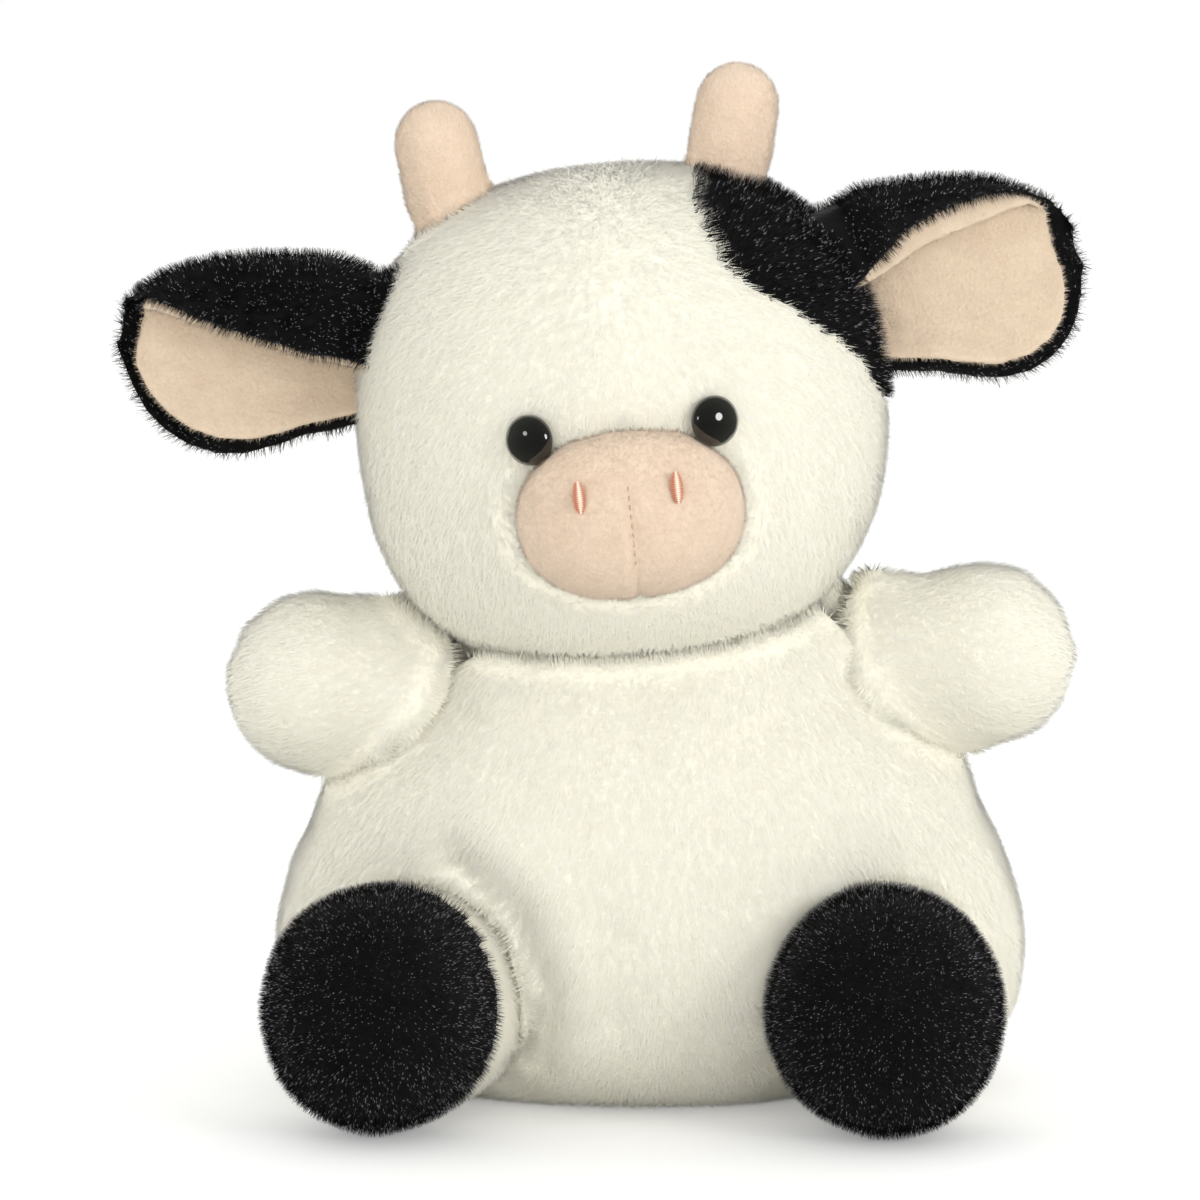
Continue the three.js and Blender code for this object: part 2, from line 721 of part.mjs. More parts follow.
// One ear's section at a station: up the panel, round the fold and down the flap
function earSection(share, leaf, rim, lipLength) {
  const top = leaf.top * shareAt(earTopShares, share);
  const bottom = -earBottom * shareAt(leaf.bottomShares, share) + rim;
  const fold = THREE.MathUtils.lerp(earFoldRadius, earTipFoldRadius, share);
  const turn = Math.PI * shareAt(leaf.foldTurnShares, share);
  const lip = lipLength * shareAt(leaf.lipShares, share);
  const drop = Math.max(Math.max(earFlap * shareAt(leaf.flapShares, share) - fold, 0) + lip, seamGap);
  const centre = top - fold;
  const line = [];
  for (let i = 0; i < 5; i += 1) {
    const run = i / 5;
    const cup = earCup * 4 * run * (1 - run) * (1 - share / 2);
    line.push(new THREE.Vector2(fold + cup, bottom + (centre - bottom) * run));
  }
  for (let i = 0; i <= 4; i += 1) {
    const angle = turn * (i / 4);
    line.push(new THREE.Vector2(fold * Math.cos(angle), centre + fold * Math.sin(angle)));
  }
  const end = line[line.length - 1];
  for (let i = 1; i <= 2; i += 1) {
    line.push(new THREE.Vector2(
      end.x - (drop * Math.sin(turn) * i) / 2,
      end.y + (drop * Math.cos(turn) * i) / 2,
    ));
  }
  return line;
}

// One layer of the ear, between two distances from the sewn line between its layers
function earLayer(leaf, inner, outer, rim, tipRim, lip) {
  const { side, droop } = leaf;
  const grids = [[], []];
  const stations = [];
  for (let i = 0; i < earStations; i += 1) {
    const share = Math.sin((Math.PI / 2) * (i / (earStations - 1)));
    stations.push(-earRootRun + (earLength + earRootRun) * share);
  }
  const end = earLength - tipRim;
  for (const along of [...stations.filter((station) => station < end), end]) {
    const share = Math.max(along, 0) / earLength;
    const line = earSection(share, leaf, THREE.MathUtils.lerp(rim, tipRim, share), lip);
    const rows = [[], []];
    line.forEach((point, j) => {
      const before = line[Math.max(j - 1, 0)];
      const after = line[Math.min(j + 1, line.length - 1)];
      const way = after.clone().sub(before).normalize();
      [outer, inner].forEach((offset, layer) => {
        const [y, z] = [point.x + way.y * offset, point.y - way.x * offset];
        rows[layer].push(new THREE.Vector3(side * along, y, z - droop * along));
      });
    });
    grids[0].push(rows[0]);
    grids[1].push(rows[1]);
  }
  return slab(grids[0], grids[1]);
}

// The head as the ear meets it over the whole of its flap
const turnedAbout = (angle) => new THREE.Matrix4().makeRotationZ(degrees(angle));
const ears = [
  {
    name: 'left',
    side: 1,
    top: leftEarTop,
    tilt: leftEarTilt,
    droop: leftEarDroop,
    sweep: leftEarSweep,
    lip: leftEarLip,
    bottomShares: leftEarBottomShares,
    flapShares: leftEarFlapShares,
    lipShares: leftEarLipShares,
    foldTurnShares: leftEarFoldTurnShares,
  },
  {
    name: 'right',
    side: -1,
    top: rightEarTop,
    tilt: rightEarTilt,
    droop: rightEarDroop,
    sweep: rightEarSweep,
    lip: rightEarLip,
    bottomShares: rightEarBottomShares,
    flapShares: rightEarFlapShares,
    lipShares: rightEarLipShares,
    foldTurnShares: rightEarFoldTurnShares,
  },
];
for (const leaf of ears) {
  const { name, side, tilt, sweep } = leaf;
  const ear = new THREE.Group();
  const height = earSeatZ / headHalfHeight;
  const level = (1 - height ** headCrownFullness) ** (2 / headCrownFullness) - (earSeatForward / headHalfDepth) ** 2;
  ear.position.set(side * headHalfWidth * Math.sqrt(level), -earSeatForward, earSeatZ);
  ear.rotation.set(0, -side * degrees(tilt), side * degrees(sweep), 'YZX');
  ear.updateMatrix();
  head.add(ear);
  const toEar = ear.matrix.clone().invert();
  let back = solid(earLayer(leaf, seamGap / 2, seamGap / 2 + earBackWall, 0, 0, 0));
  let lining = solid(earLayer(leaf, -seamGap / 2 - liningWall, -seamGap / 2, earRim, earTipRim, leaf.lip));
  for (const angle of [-earFlapLimit, 0, earFlapLimit]) {
    const cutter = solid(headForm(seamGap), turnedAbout(angle).multiply(toEar));
    back = back.subtract(cutter);
    lining = lining.subtract(cutter);
  }
  addPiece(ear, `ear_back_${name}`, back, blackPile);
  addPiece(ear, `ear_lining_${name}`, lining, peachPile);
}

// Body, its limbs and its filling
const ground = solid(block(new THREE.Vector3(-far, -far, -far), new THREE.Vector3(far, far, 0)));
const sockets = [solid(headRoom(neckGap), head.matrix)];

for (const [name, arm] of [['left', leftArm], ['right', rightArm]]) {
  const toArm = arm.matrix.clone().invert();
  const open = solid(block(
    new THREE.Vector3(-armOpening, -far, -far),
    new THREE.Vector3(far, far, far),
  ));
  const outboard = solid(block(
    new THREE.Vector3(armUnderside, -far, -far),
    new THREE.Vector3(far, far, far),
  ));
  const layer = (shrink) => {
    const flank = solid(bodyForm(seamGap + shrink), toArm).intersect(outboard);
    return solid(limbForm(armLimb, -shrink)).subtract(flank);
  };
  let cover = layer(0).subtract(layer(coverWall)).intersect(open);
  let fill = layer(coverWall + seamGap).intersect(open);
  for (const lift of [0, armLiftLimit / 2, armLiftLimit]) {
    const lowered = new THREE.Matrix4().makeRotationY(degrees(lift));
    const cheek = solid(headRoom(seamGap), lowered.multiply(toArm).multiply(head.matrix));
    cover = cover.subtract(cheek);
    fill = fill.subtract(cheek);
  }
  addPiece(arm, `arm_cover_${name}`, cover, whitePile);
  addPiece(arm, `arm_stuffing_${name}`, fill, fibreFill);
  const halves = new THREE.Vector3(1, armFlatten, 1).multiplyScalar(armRootRadius + neckGap);
  const room = ball((way) => ballRadius(way, halves, 2, 2), roomFacets, roomFacetRings);
  sockets.push(solid(room, arm.matrix));
}

for (const [name, leg] of [['left', leftLeg], ['right', rightLeg]]) {
  const toLeg = leg.matrix.clone().invert();
  const floor = solid(block(new THREE.Vector3(-far, -far, -far), new THREE.Vector3(far, far, 0)), toLeg);
  const lifted = solid(block(new THREE.Vector3(-far, -far, -far), new THREE.Vector3(far, far, coverWall)), toLeg);
  const outer = solid(limbForm(legLimb, 0)).subtract(floor);
  const hollow = solid(limbForm(legLimb, -coverWall)).subtract(lifted);
  const behind = solid(block(
    new THREE.Vector3(-legOpening, -far, -far),
    new THREE.Vector3(footSeam - seamGap / 2, far, far),
  ));
  const before = solid(block(
    new THREE.Vector3(footSeam + seamGap / 2, -far, -far),
    new THREE.Vector3(far, far, far),
  ));
  const open = solid(block(
    new THREE.Vector3(-legOpening, -far, -far),
    new THREE.Vector3(far, far, far),
  ));
  const shell = outer.subtract(hollow);
  addPiece(leg, `leg_cover_${name}`, shell.intersect(behind), whitePile);
  addPiece(leg, `foot_pad_${name}`, shell.intersect(before), blackPile);
  const fill = solid(limbForm(legLimb, -coverWall - seamGap));
  const raised = solid(block(
    new THREE.Vector3(-far, -far, -far),
    new THREE.Vector3(far, far, coverWall + seamGap),
  ), toLeg);
  addPiece(leg, `leg_stuffing_${name}`, fill.subtract(raised).intersect(open), fibreFill);
  sockets.push(solid(limbRoom(legLimb, [0, legLiftLimit / 2, legLiftLimit], neckGap), leg.matrix));
}

// Tail: a soft round cord of cloth that hangs from a round root, with a tuft at its end
const tailCurve = new THREE.QuadraticBezierCurve3(
  new THREE.Vector3(0, 0, 0),
  new THREE.Vector3(0, tailOut, 0),
  new THREE.Vector3(0, tailOut, -tailDrop),
);
function tailRings(from, to, radiusAt, steps) {
  const rings = [];
  const across = new THREE.Vector3(1, 0, 0);
  for (let i = 0; i <= steps; i += 1) {
    const place = from + ((to - from) * i) / steps;
    const centre = tailCurve.getPoint(Math.min(place, 1));
    const way = tailCurve.getTangent(Math.min(place, 1));
    centre.addScaledVector(way, Math.max(place - 1, 0) * tuftLength);
    const other = new THREE.Vector3().crossVectors(across, way);
    const ring = [];
    for (let j = 0; j < smallFacets; j += 1) {
      const angle = (2 * Math.PI * j) / smallFacets;
      const radius = radiusAt(i / steps);
      ring.push(centre.clone()
        .addScaledVector(across, radius * Math.cos(angle))
        .addScaledVector(other, radius * Math.sin(angle)));
    }
    rings.push(ring);
  }
  return loft(rings);
}
const tailRoot = new THREE.SphereGeometry(tailRootRadius, smallFacets, smallFacets / 2);
const tailCord = solid(tailRings(0, 1, () => tailRadius, 8));
addPiece(tail, 'tail_cover', tailCord.add(solid(tailRoot)), whitePile);
const tuftSwell = (share) => tuftRadius * Math.sin(Math.PI * (0.16 + 0.8 * share)) ** 0.8;
const tuft = tailRings(1 + seamGap / tuftLength, 2, tuftSwell, 7);
addPiece(tail, 'tail_tuft', solid(tuft), blackPile);
sockets.push(solid(
  new THREE.SphereGeometry(tailRootRadius + seamGap, smallFacets, smallFacets / 2),
  tail.matrix,
));

let shell = solid(bodyForm(0)).subtract(solid(bodyForm(-coverWall, innerFacets)));
let filling = solid(bodyForm(fillShrink, innerFacets));
for (const socket of sockets) {
  shell = shell.subtract(socket);
  filling = filling.subtract(socket);
}
const bodyFront = solid(block(
  new THREE.Vector3(-far, -far, -far),
  new THREE.Vector3(far, bodySeamY - seamGap / 2, far),
));
const bodyBack = solid(block(
  new THREE.Vector3(-far, bodySeamY + seamGap / 2, -far),
  new THREE.Vector3(far, far, far),
));
addPiece(cow, 'body_front', shell.intersect(bodyFront), whitePile);
addPiece(cow, 'body_back', shell.intersect(bodyBack), whitePile);
const pelletRoom = solid(block(
  new THREE.Vector3(-far, -far, -far),
  new THREE.Vector3(far, far, pelletFill),
));
const fibreRoom = solid(block(
  new THREE.Vector3(-far, -far, pelletFill + seamGap),
  new THREE.Vector3(far, far, far),
));
addPiece(cow, 'pellet_bag', filling.intersect(pelletRoom), pelletCloth);
addPiece(cow, 'body_stuffing', filling.intersect(fibreRoom), fibreFill);

// The origin is under the middle of the whole toy, on the ground
const bounds = new THREE.Box3().setFromObject(cow, true);
const middle = bounds.getCenter(new THREE.Vector3());
for (const child of cow.children) child.position.sub(new THREE.Vector3(middle.x, middle.y, bounds.min.z));

export default cow;
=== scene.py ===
import json
import math

import bmesh
import bpy
import numpy as np
from mathutils import Matrix, Vector
from mathutils.bvhtree import BVHTree
from mathutils.kdtree import KDTree


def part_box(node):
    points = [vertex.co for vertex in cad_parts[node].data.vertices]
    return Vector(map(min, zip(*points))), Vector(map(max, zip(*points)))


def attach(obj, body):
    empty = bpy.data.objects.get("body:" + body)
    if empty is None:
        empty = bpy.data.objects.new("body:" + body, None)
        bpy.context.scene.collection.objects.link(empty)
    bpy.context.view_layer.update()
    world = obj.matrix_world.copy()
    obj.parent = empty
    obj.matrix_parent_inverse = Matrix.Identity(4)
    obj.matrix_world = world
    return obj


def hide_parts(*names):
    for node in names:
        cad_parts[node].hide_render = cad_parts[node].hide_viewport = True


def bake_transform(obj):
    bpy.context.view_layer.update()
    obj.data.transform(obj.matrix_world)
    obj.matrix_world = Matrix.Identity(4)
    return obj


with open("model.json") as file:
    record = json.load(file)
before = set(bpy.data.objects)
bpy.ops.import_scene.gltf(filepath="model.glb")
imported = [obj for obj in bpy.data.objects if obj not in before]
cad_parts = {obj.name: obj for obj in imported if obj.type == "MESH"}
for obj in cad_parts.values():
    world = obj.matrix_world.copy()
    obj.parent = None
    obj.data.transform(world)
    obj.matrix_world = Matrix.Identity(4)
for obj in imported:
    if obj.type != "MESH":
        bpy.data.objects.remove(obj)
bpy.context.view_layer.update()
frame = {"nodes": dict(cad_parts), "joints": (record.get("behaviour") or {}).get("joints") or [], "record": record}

bl_info = {
    "name": "Plush cow",
    "version": (1, 0, 0),
    "blender": (4, 5, 0),
    "location": "View3D > Sidebar > Plush cow",
    "description": "Dresses the plush cow in cloth, pile, stitches and glossy eyes",
    "category": "Object",
}

MM = 0.001
SIDES = {"left": 1, "right": -1}
WHITE = (1, 1, 1, 1)


# Places that the frame gives


def joint(name):
    return next(j for j in frame["joints"] if j["name"] == name)


HEAD_CENTRE = np.array(joint("head_nod")["pos_m"])
HEAD_UP = np.array(joint("head_turn")["axis"])
HEAD_SIDE = np.array([HEAD_UP[2], 0, -HEAD_UP[0]])
BODY_X = joint("tail_swing")["pos_m"][0]


def in_head(points):
    """Places along the head's own side, depth and height, from its centre"""
    away = points - HEAD_CENTRE
    return np.stack([away @ HEAD_SIDE, away[:, 1], away @ HEAD_UP], axis=1)


def unit(vectors):
    return vectors / np.maximum(np.linalg.norm(vectors, axis=-1, keepdims=True), 1e-12)


def ripples(points, size, seed, waves=7):
    """A smooth, repeatable unevenness of about -1 to 1, whose humps are about size apart"""
    random = np.random.default_rng(seed)
    ways = unit(random.normal(size=(waves, 3))) * (2 * math.pi / size)
    ways *= random.uniform(0.6, 1.3, (waves, 1))
    phases = random.uniform(0, 2 * math.pi, waves)
    return np.sin(points @ ways.T + phases).sum(axis=1) / math.sqrt(waves)


# Colours and materials


def linear(colour):
    """An sRGB hex colour as linear light"""
    parts = [int(colour[i : i + 2], 16) / 255 for i in (1, 3, 5)]
    return [c / 12.92 if c <= 0.04045 else ((c + 0.055) / 1.055) ** 2.4 for c in parts] + [1.0]


def add_node(tree, kind, inputs=None, **settings):
    """A node with its settings, its values and the sockets that feed it"""
    node = tree.nodes.new(kind)
    for name, value in settings.items():
        setattr(node, name, value)
    for name, value in (inputs or {}).items():
        if isinstance(value, bpy.types.NodeSocket):
            tree.links.new(value, node.inputs[name])
        else:
            node.inputs[name].default_value = value
    return node


def new_material(name, colour, roughness, **sockets):
    """A Principled material under a maker's name, with values on its own sockets"""
    made = bpy.data.materials.get(name)
    if made:
        return made, None, None
    made = bpy.data.materials.new(name)
    made.use_nodes = True
    made.diffuse_color = linear(colour)
    shader = made.node_tree.nodes["Principled BSDF"]
    shader.inputs["Base Color"].default_value = linear(colour)
    shader.inputs["Roughness"].default_value = roughness
    for socket, value in sockets.items():
        shader.inputs[socket.replace("_", " ")].default_value = value
    return made, made.node_tree, shader


def two_tones(tree, shader, share, first, second):
    """Colours a surface from one sRGB hex colour to another, by a share"""
    colour = add_node(
        tree, "ShaderNodeMix", {0: share, 6: linear(first), 7: linear(second)}, data_type="RGBA"
    )
    tree.links.new(colour.outputs[2], shader.inputs["Base Color"])


def raise_pattern(tree, shader, kind, size, strength, depth, inputs=None, invert=False, **settings):
    """Raises a pattern of a real size on a surface, over any that was raised there before"""
    at = add_node(tree, "ShaderNodeTexCoord").outputs["Object"]
    pattern = add_node(tree, kind, {"Vector": at, "Scale": 1 / size} | (inputs or {}), **settings)
    height = pattern.outputs["Distance" if "Distance" in pattern.outputs else "Fac"]
    bump = add_node(
        tree,
        "ShaderNodeBump",
        {"Height": height, "Strength": strength, "Distance": depth},
        invert=invert,
    )
    normal = shader.inputs["Normal"]
    if normal.is_linked:
        tree.links.new(normal.links[0].from_socket, bump.inputs["Normal"])
    tree.links.new(bump.outputs["Normal"], normal)


def knitted_back(name, light, dark):
    """Knitted polyester backing of a pile cloth: dull, with rows of 0.5 mm loops, and a touch
    darker here and there, so that the roots of the pile look shaded"""
    made, tree, shader = new_material(name, light, 0.95, Sheen_Weight=0.15)
    if tree:
        at = add_node(tree, "ShaderNodeTexCoord").outputs["Object"]
        mottle = add_node(
            tree, "ShaderNodeTexNoise", {"Vector": at, "Scale": 1 / (4 * MM), "Detail": 3.0}
        )
        share = add_node(
            tree,
            "ShaderNodeMapRange",
            {"Value": mottle.outputs["Fac"], "From Min": 0.3, "From Max": 0.7},
        )
        two_tones(tree, shader, share.outputs["Result"], light, dark)
        raise_pattern(tree, shader, "ShaderNodeTexVoronoi", 0.5 * MM, 0.5, 0.15 * MM)
    return made


def strand_shades(name, shades, roughness, **sockets):
    """Fine polyester fibres of a cut pile, in a few shades, so that a field of them is lively"""
    return [
        new_material(f"{name}_{i + 1}", shade, roughness, **sockets)[0]
        for i, shade in enumerate(shades)
    ]


def white_pile():
    """Long white velboa pile: soft, nearly matt fibres with a faint silky glint"""
    shades = ["#fffceb", "#fdf9e5", "#fffef4"]
    return strand_shades("white_velboa_pile", shades, 0.75, Sheen_Weight=0.3)


def black_pile():
    """Black velboa pile of deep dye. The pale third shade is a painted highlight on fibre ends"""
    return strand_shades(
        "black_velboa_pile", ["#070608", "#0d0c0f", "#a9a6ac"], 0.5, Specular_IOR_Level=0.3
    )


def peach_pile():
    """Peach short-cut pile: a dense, dull nap under a millimetre tall"""
    return strand_shades("peach_short_pile", ["#ebd6c0", "#e7d1ba", "#f1ddc9"], 0.85)


def lit_horn_pile():
    """Peach short-cut pile of the horns, paler than on the muzzle: painted light from above"""
    return strand_shades("lit_peach_pile", ["#fce5cd", "#f8e0c6", "#ffebd6"], 0.85)


def white_knit():
    return knitted_back("white_knitted_backing", "#fffbe9", "#fbf7e4")


def black_knit():
    return knitted_back("black_knitted_backing", "#09080a", "#050406")


def peach_knit():
    return knitted_back("peach_knitted_backing", "#e9d2ba", "#e1c8ae")


def shaded_lining_pile():
    """Peach short-cut pile of the ear linings, darker than the muzzle's: painted shade of the hollow"""
    return strand_shades("shaded_peach_lining_pile", ["#e5d1b9", "#dcc8ae", "#f0e0cb"], 0.85)


# The lining's backing is darker than the muzzle's too: painted shade of the ear's hollow
def shaded_lining_knit():
    return knitted_back("shaded_peach_lining_backing", "#e0ccb2", "#d8c2a8")


def eye_gloss():
    """Polished black acrylic: a hard dome with clear small lights, and a colour that turns
    olive grey where the dome is seen edge-on: a painted reflection"""
    made, tree, shader = new_material(
        "polished_black_acrylic", "#0a0908", 0.04, IOR=1.49,
        Coat_Weight=1.0, Coat_Roughness=0.03, Coat_IOR=1.6,
    )
    if tree:
        # Olive grey towards the dome's edge, where it is seen edge-on: a painted reflection
        painted_rim_reflection = add_node(tree, "ShaderNodeLayerWeight", {"Blend": 0.25})
        two_tones(tree, shader, painted_rim_reflection.outputs["Facing"], "#070605", "#4a4a3e")
    return made


def stitch_thread():
    """Rayon embroidery thread: a silky salmon twist, 0.6 mm to a turn, with a painted highlight:
    pale across the middle of each stitch, where its crown faces the light"""
    made, tree, shader = new_material(
        "salmon_rayon_thread", "#e59a72", 0.3, Sheen_Weight=0.3, Specular_IOR_Level=0.6
    )
    if tree:
        # Pale in the middle of each stitch, salmon towards its ends: a painted highlight
        across = add_node(tree, "ShaderNodeAttribute", attribute_name="across").outputs["Fac"]
        edge = add_node(tree, "ShaderNodeMath", {0: across, 1: 0.12}, operation="SUBTRACT")
        away = add_node(tree, "ShaderNodeMath", {0: edge.outputs[0]}, operation="ABSOLUTE")
        share = add_node(
            tree,
            "ShaderNodeMapRange",
            {"Value": away.outputs[0], "From Min": 0.08, "From Max": 0.5},
        )
        two_tones(tree, shader, share.outputs["Result"], "#fff0dd", "#d98d68")
        raise_pattern(
            tree, shader, "ShaderNodeTexWave", 0.6 * MM, 0.35, 0.05 * MM,
            {"Distortion": 2.0}, bands_direction="DIAGONAL",
        )
    return made


def seam_thread():
    """Dull spun sewing thread, 0.3 mm to a turn, a shade browner than the cloth it closes"""
    made, tree, shader = new_material("brown_spun_thread", "#cda789", 0.8)
    if tree:
        raise_pattern(
            tree, shader, "ShaderNodeTexWave", 0.3 * MM, 0.5, 0.04 * MM,
            bands_direction="DIAGONAL",
        )
    return made


def washer_nylon():
    """Natural moulded nylon: milky, with a faint grain from the mould"""
    made, tree, shader = new_material("natural_moulded_nylon", "#e6e5dd", 0.5)
    if tree:
        raise_pattern(tree, shader, "ShaderNodeTexNoise", 0.3 * MM, 0.2, 0.03 * MM)
    return made


def fibre_fill():
    """Loose polyester fibre: white, with tangled wisps and soft hollows"""
    made, tree, shader = new_material("loose_polyester_fibre", "#f7f7f2", 1.0, Sheen_Weight=0.4)
    if tree:
        raise_pattern(
            tree, shader, "ShaderNodeTexNoise", 2.5 * MM, 0.9, 0.6 * MM,
            {"Detail": 6.0, "Distortion": 2.5},
        )
    return made


def pellet_cloth():
    """Thin woven bag full of pellets: plain weave at 0.4 mm, bulged by the beads behind it"""
    made, tree, shader = new_material("woven_pellet_bag_cloth", "#dcdcd6", 0.85)
    if tree:
        raise_pattern(
            tree, shader, "ShaderNodeTexVoronoi", 3 * MM, 0.8, 0.8 * MM, invert=True
        )
        raise_pattern(
            tree, shader, "ShaderNodeTexWave", 0.4 * MM, 0.3, 0.05 * MM, bands_direction="Z"
        )
    return made


# Each cloth's slot, and the materials of its backing and its pile
LOOKS = {
    "white": ("white_pile", white_knit, white_pile),
    "black": ("black_pile", black_knit, black_pile),
    "muzzle": ("peach_pile", peach_knit, peach_pile),
    "horn": ("peach_pile", peach_knit, lit_horn_pile),
    "lining": ("peach_pile", shaded_lining_knit, shaded_lining_pile),
}


# Modelling steps shared by the soft pieces


def deselect():
    if bpy.context.mode != "OBJECT":
        bpy.ops.object.mode_set(mode="OBJECT")
    bpy.ops.object.select_all(action="DESELECT")


def pick(piece):
    deselect()
    piece.select_set(True)
    bpy.context.view_layer.objects.active = piece


def use_modifier(piece, kind, **settings):
    """Adds one modifier and applies it"""
    pick(piece)
    modifier = piece.modifiers.new(kind.title(), kind)
    for name, value in settings.items():
        setattr(modifier, name, value)
    bpy.ops.object.modifier_apply(modifier=modifier.name)


def add_object(name, data):
    made = bpy.data.objects.new(name, data)
    bpy.context.scene.collection.objects.link(made)
    return made


def copy_of(name, nodes):
    """One mesh made from copies of CAD nodes where they stand, with their doubles merged"""
    deselect()
    copies = []
    for node in nodes:
        twin = add_object(name, frame["nodes"][node].data.copy())
        twin.select_set(True)
        copies.append(twin)
    piece = copies[0]
    bpy.context.view_layer.objects.active = piece
    if len(copies) > 1:
        bpy.ops.object.join()
    piece.name = name
    piece.data.name = name
    bpy.ops.object.mode_set(mode="EDIT")
    bpy.ops.mesh.select_all(action="SELECT")
    bpy.ops.mesh.remove_doubles(threshold=0.001 * MM)
    bpy.ops.mesh.normals_make_consistent(inside=False)
    bpy.ops.object.mode_set(mode="OBJECT")
    piece.data.materials.clear()
    return piece


def keep_outside(piece):
    """Deletes closed pockets inside a form, and keeps its outer skin"""
    work = bmesh.new()
    work.from_mesh(piece.data)
    work.verts.ensure_lookup_table()
    groups, seen = [], set()
    for start in work.verts:
        if start.index in seen:
            continue
        group, queue = [], [start]
        seen.add(start.index)
        while queue:
            vert = queue.pop()
            group.append(vert)
            for edge in vert.link_edges:
                other = edge.other_vert(vert)
                if other.index not in seen:
                    seen.add(other.index)
                    queue.append(other)
        groups.append(group)
    groups.sort(key=len)
    bmesh.ops.delete(work, geom=[v for group in groups[:-1] for v in group], context="VERTS")
    work.to_mesh(piece.data)
    work.free()


def places(piece):
    co = np.empty(len(piece.data.vertices) * 3)
    piece.data.vertices.foreach_get("co", co)
    return co.reshape(-1, 3)


def out_of(piece):
    normals = np.empty(len(piece.data.vertices) * 3)
    piece.data.vertices.foreach_get("normal", normals)
    return normals.reshape(-1, 3)


def move_to(piece, co):
    piece.data.vertices.foreach_set("co", co.ravel())
    piece.data.update()


def evened(piece, values, rounds):
    """Averages a value of each vertex with those of its neighbours, again and again"""
    mesh = piece.data
    ends = np.empty(len(mesh.edges) * 2, dtype=np.int32)
    mesh.edges.foreach_get("vertices", ends)
    a, b = ends.reshape(-1, 2).T
    count = len(mesh.vertices)
    links = np.maximum(np.bincount(a, minlength=count) + np.bincount(b, minlength=count), 1)
    for _ in range(rounds):
        total = np.bincount(a, values[b], count) + np.bincount(b, values[a], count)
        values = (values + total / links) / 2
    return values


def evened_places(piece, co, rounds):
    return np.stack([evened(piece, co[:, k], rounds) for k in range(3)], axis=1)


def fill_out(piece, skin, inset, rounds):
    """Moves a smoothed form back out to the skin it was smoothed from, without its corners"""
    co, out = places(piece), out_of(piece)
    nearest = np.array([skin.find_nearest(Vector(point))[0] for point in co])
    gaps = evened(piece, ((nearest - co) * out).sum(1), rounds)
    move_to(piece, co + out * (gaps - inset)[:, None])


def stuffed_form(name, nodes, voxel, rounds, inset, cap=0):
    """The whole form that covers and filling make together, rounded as stuffed cloth is. With
    a cap, the stuffing's pressure then moves the cloth by up to that much"""
    piece = copy_of(name, nodes)
    skin = tree_of(piece)
    coarse = 2 if cap else 1
    use_modifier(piece, "DISPLACE", strength=0.2 * MM, mid_level=0)
    use_modifier(piece, "REMESH", mode="VOXEL", voxel_size=voxel * coarse)
    keep_outside(piece)
    use_modifier(piece, "SMOOTH", factor=0.5, iterations=rounds // coarse**2)
    fill_out(piece, skin, inset + cap / 2, rounds // coarse**2)
    if cap:
        inflate(piece, cap)
        use_modifier(piece, "SUBSURF", levels=1, render_levels=1)
        use_modifier(piece, "SMOOTH", factor=0.5, iterations=2)
    return piece


# Steps of simulation that bring the cloth to rest against its stuffing
CLOTH_STEPS = 12


def inflate(piece, cap):
    """Simulates the cloth under the stuffing's pressure, and keeps each point within its cap"""
    start = places(piece)
    pick(piece)
    modifier = piece.modifiers.new("Cloth", "CLOTH")
    cloth = modifier.settings
    cloth.tension_stiffness = cloth.compression_stiffness = cloth.shear_stiffness = 8
    cloth.bending_stiffness = 0.1
    cloth.use_pressure = True
    cloth.uniform_pressure_force = 30
    cloth.effector_weights.gravity = 0
    for step in range(1, CLOTH_STEPS + 1):
        bpy.context.scene.frame_set(step)
    bpy.ops.object.modifier_apply(modifier=modifier.name)
    bpy.context.scene.frame_set(1)
    move = places(piece) - start
    reach = np.linalg.norm(move, axis=1, keepdims=True)
    move *= np.minimum(1, cap / np.maximum(reach, 1e-9))
    move_to(piece, start + evened_places(piece, move, 4))


def reach_for(piece, other, within, share, sink=0):
    """Moves the cloth that lies near another piece towards it, as a pressed or sewn edge does,
    and sinks it into the other's pile"""
    co = places(piece)
    move = np.zeros_like(co)
    for i, point in enumerate(co):
        place, out, _, distance = other.find_nearest(Vector(point), within)
        if place is not None:
            way = (np.array(place) - point) * share - np.array(out) * sink
            move[i] = way * (1 - (distance / within) ** 2)
    move_to(piece, co + evened_places(piece, move, 3))


def press(piece, lines):
    """Presses soft folds into the front of a form, in mm. Each line has its points in x and z,
    its depth, negative for a ridge, and its width"""
    co, out = places(piece), out_of(piece)
    flat = co[:, [0, 2]] / MM
    facing = np.clip(-3 * out[:, 1], 0, 1)
    for points, depth, width in lines:
        near = np.full(len(co), 1e9)
        for a, b in zip(points[:-1], points[1:], strict=True):
            a, b = np.array(a), np.array(b)
            share = np.clip(((flat - a) @ (b - a)) / ((b - a) @ (b - a)), 0, 1)
            near = np.minimum(near, np.linalg.norm(flat - a - share[:, None] * (b - a), axis=1))
        push = -depth * MM * np.exp(-((near / width) ** 2)) * facing
        co = co + out * push[:, None]
    move_to(piece, co)


def nudge(piece, pulls):
    """Pulls places on a form, in mm: each has a place, a radius and the way to move"""
    co = places(piece)
    for place, radius, move in pulls:
        away = np.linalg.norm(co / MM - np.array(place), axis=1)
        co = co + np.array(move) * MM * np.exp(-((away / radius) ** 2))[:, None]
    move_to(piece, co)


def soften(piece, place, radius, rounds):
    """Rounds the corners off near a place, both in mm"""
    co = places(piece)
    share = np.exp(-((np.linalg.norm(co / MM - np.array(place), axis=1) / radius) ** 2))
    move_to(piece, co + (evened_places(piece, co, rounds) - co) * share[:, None])


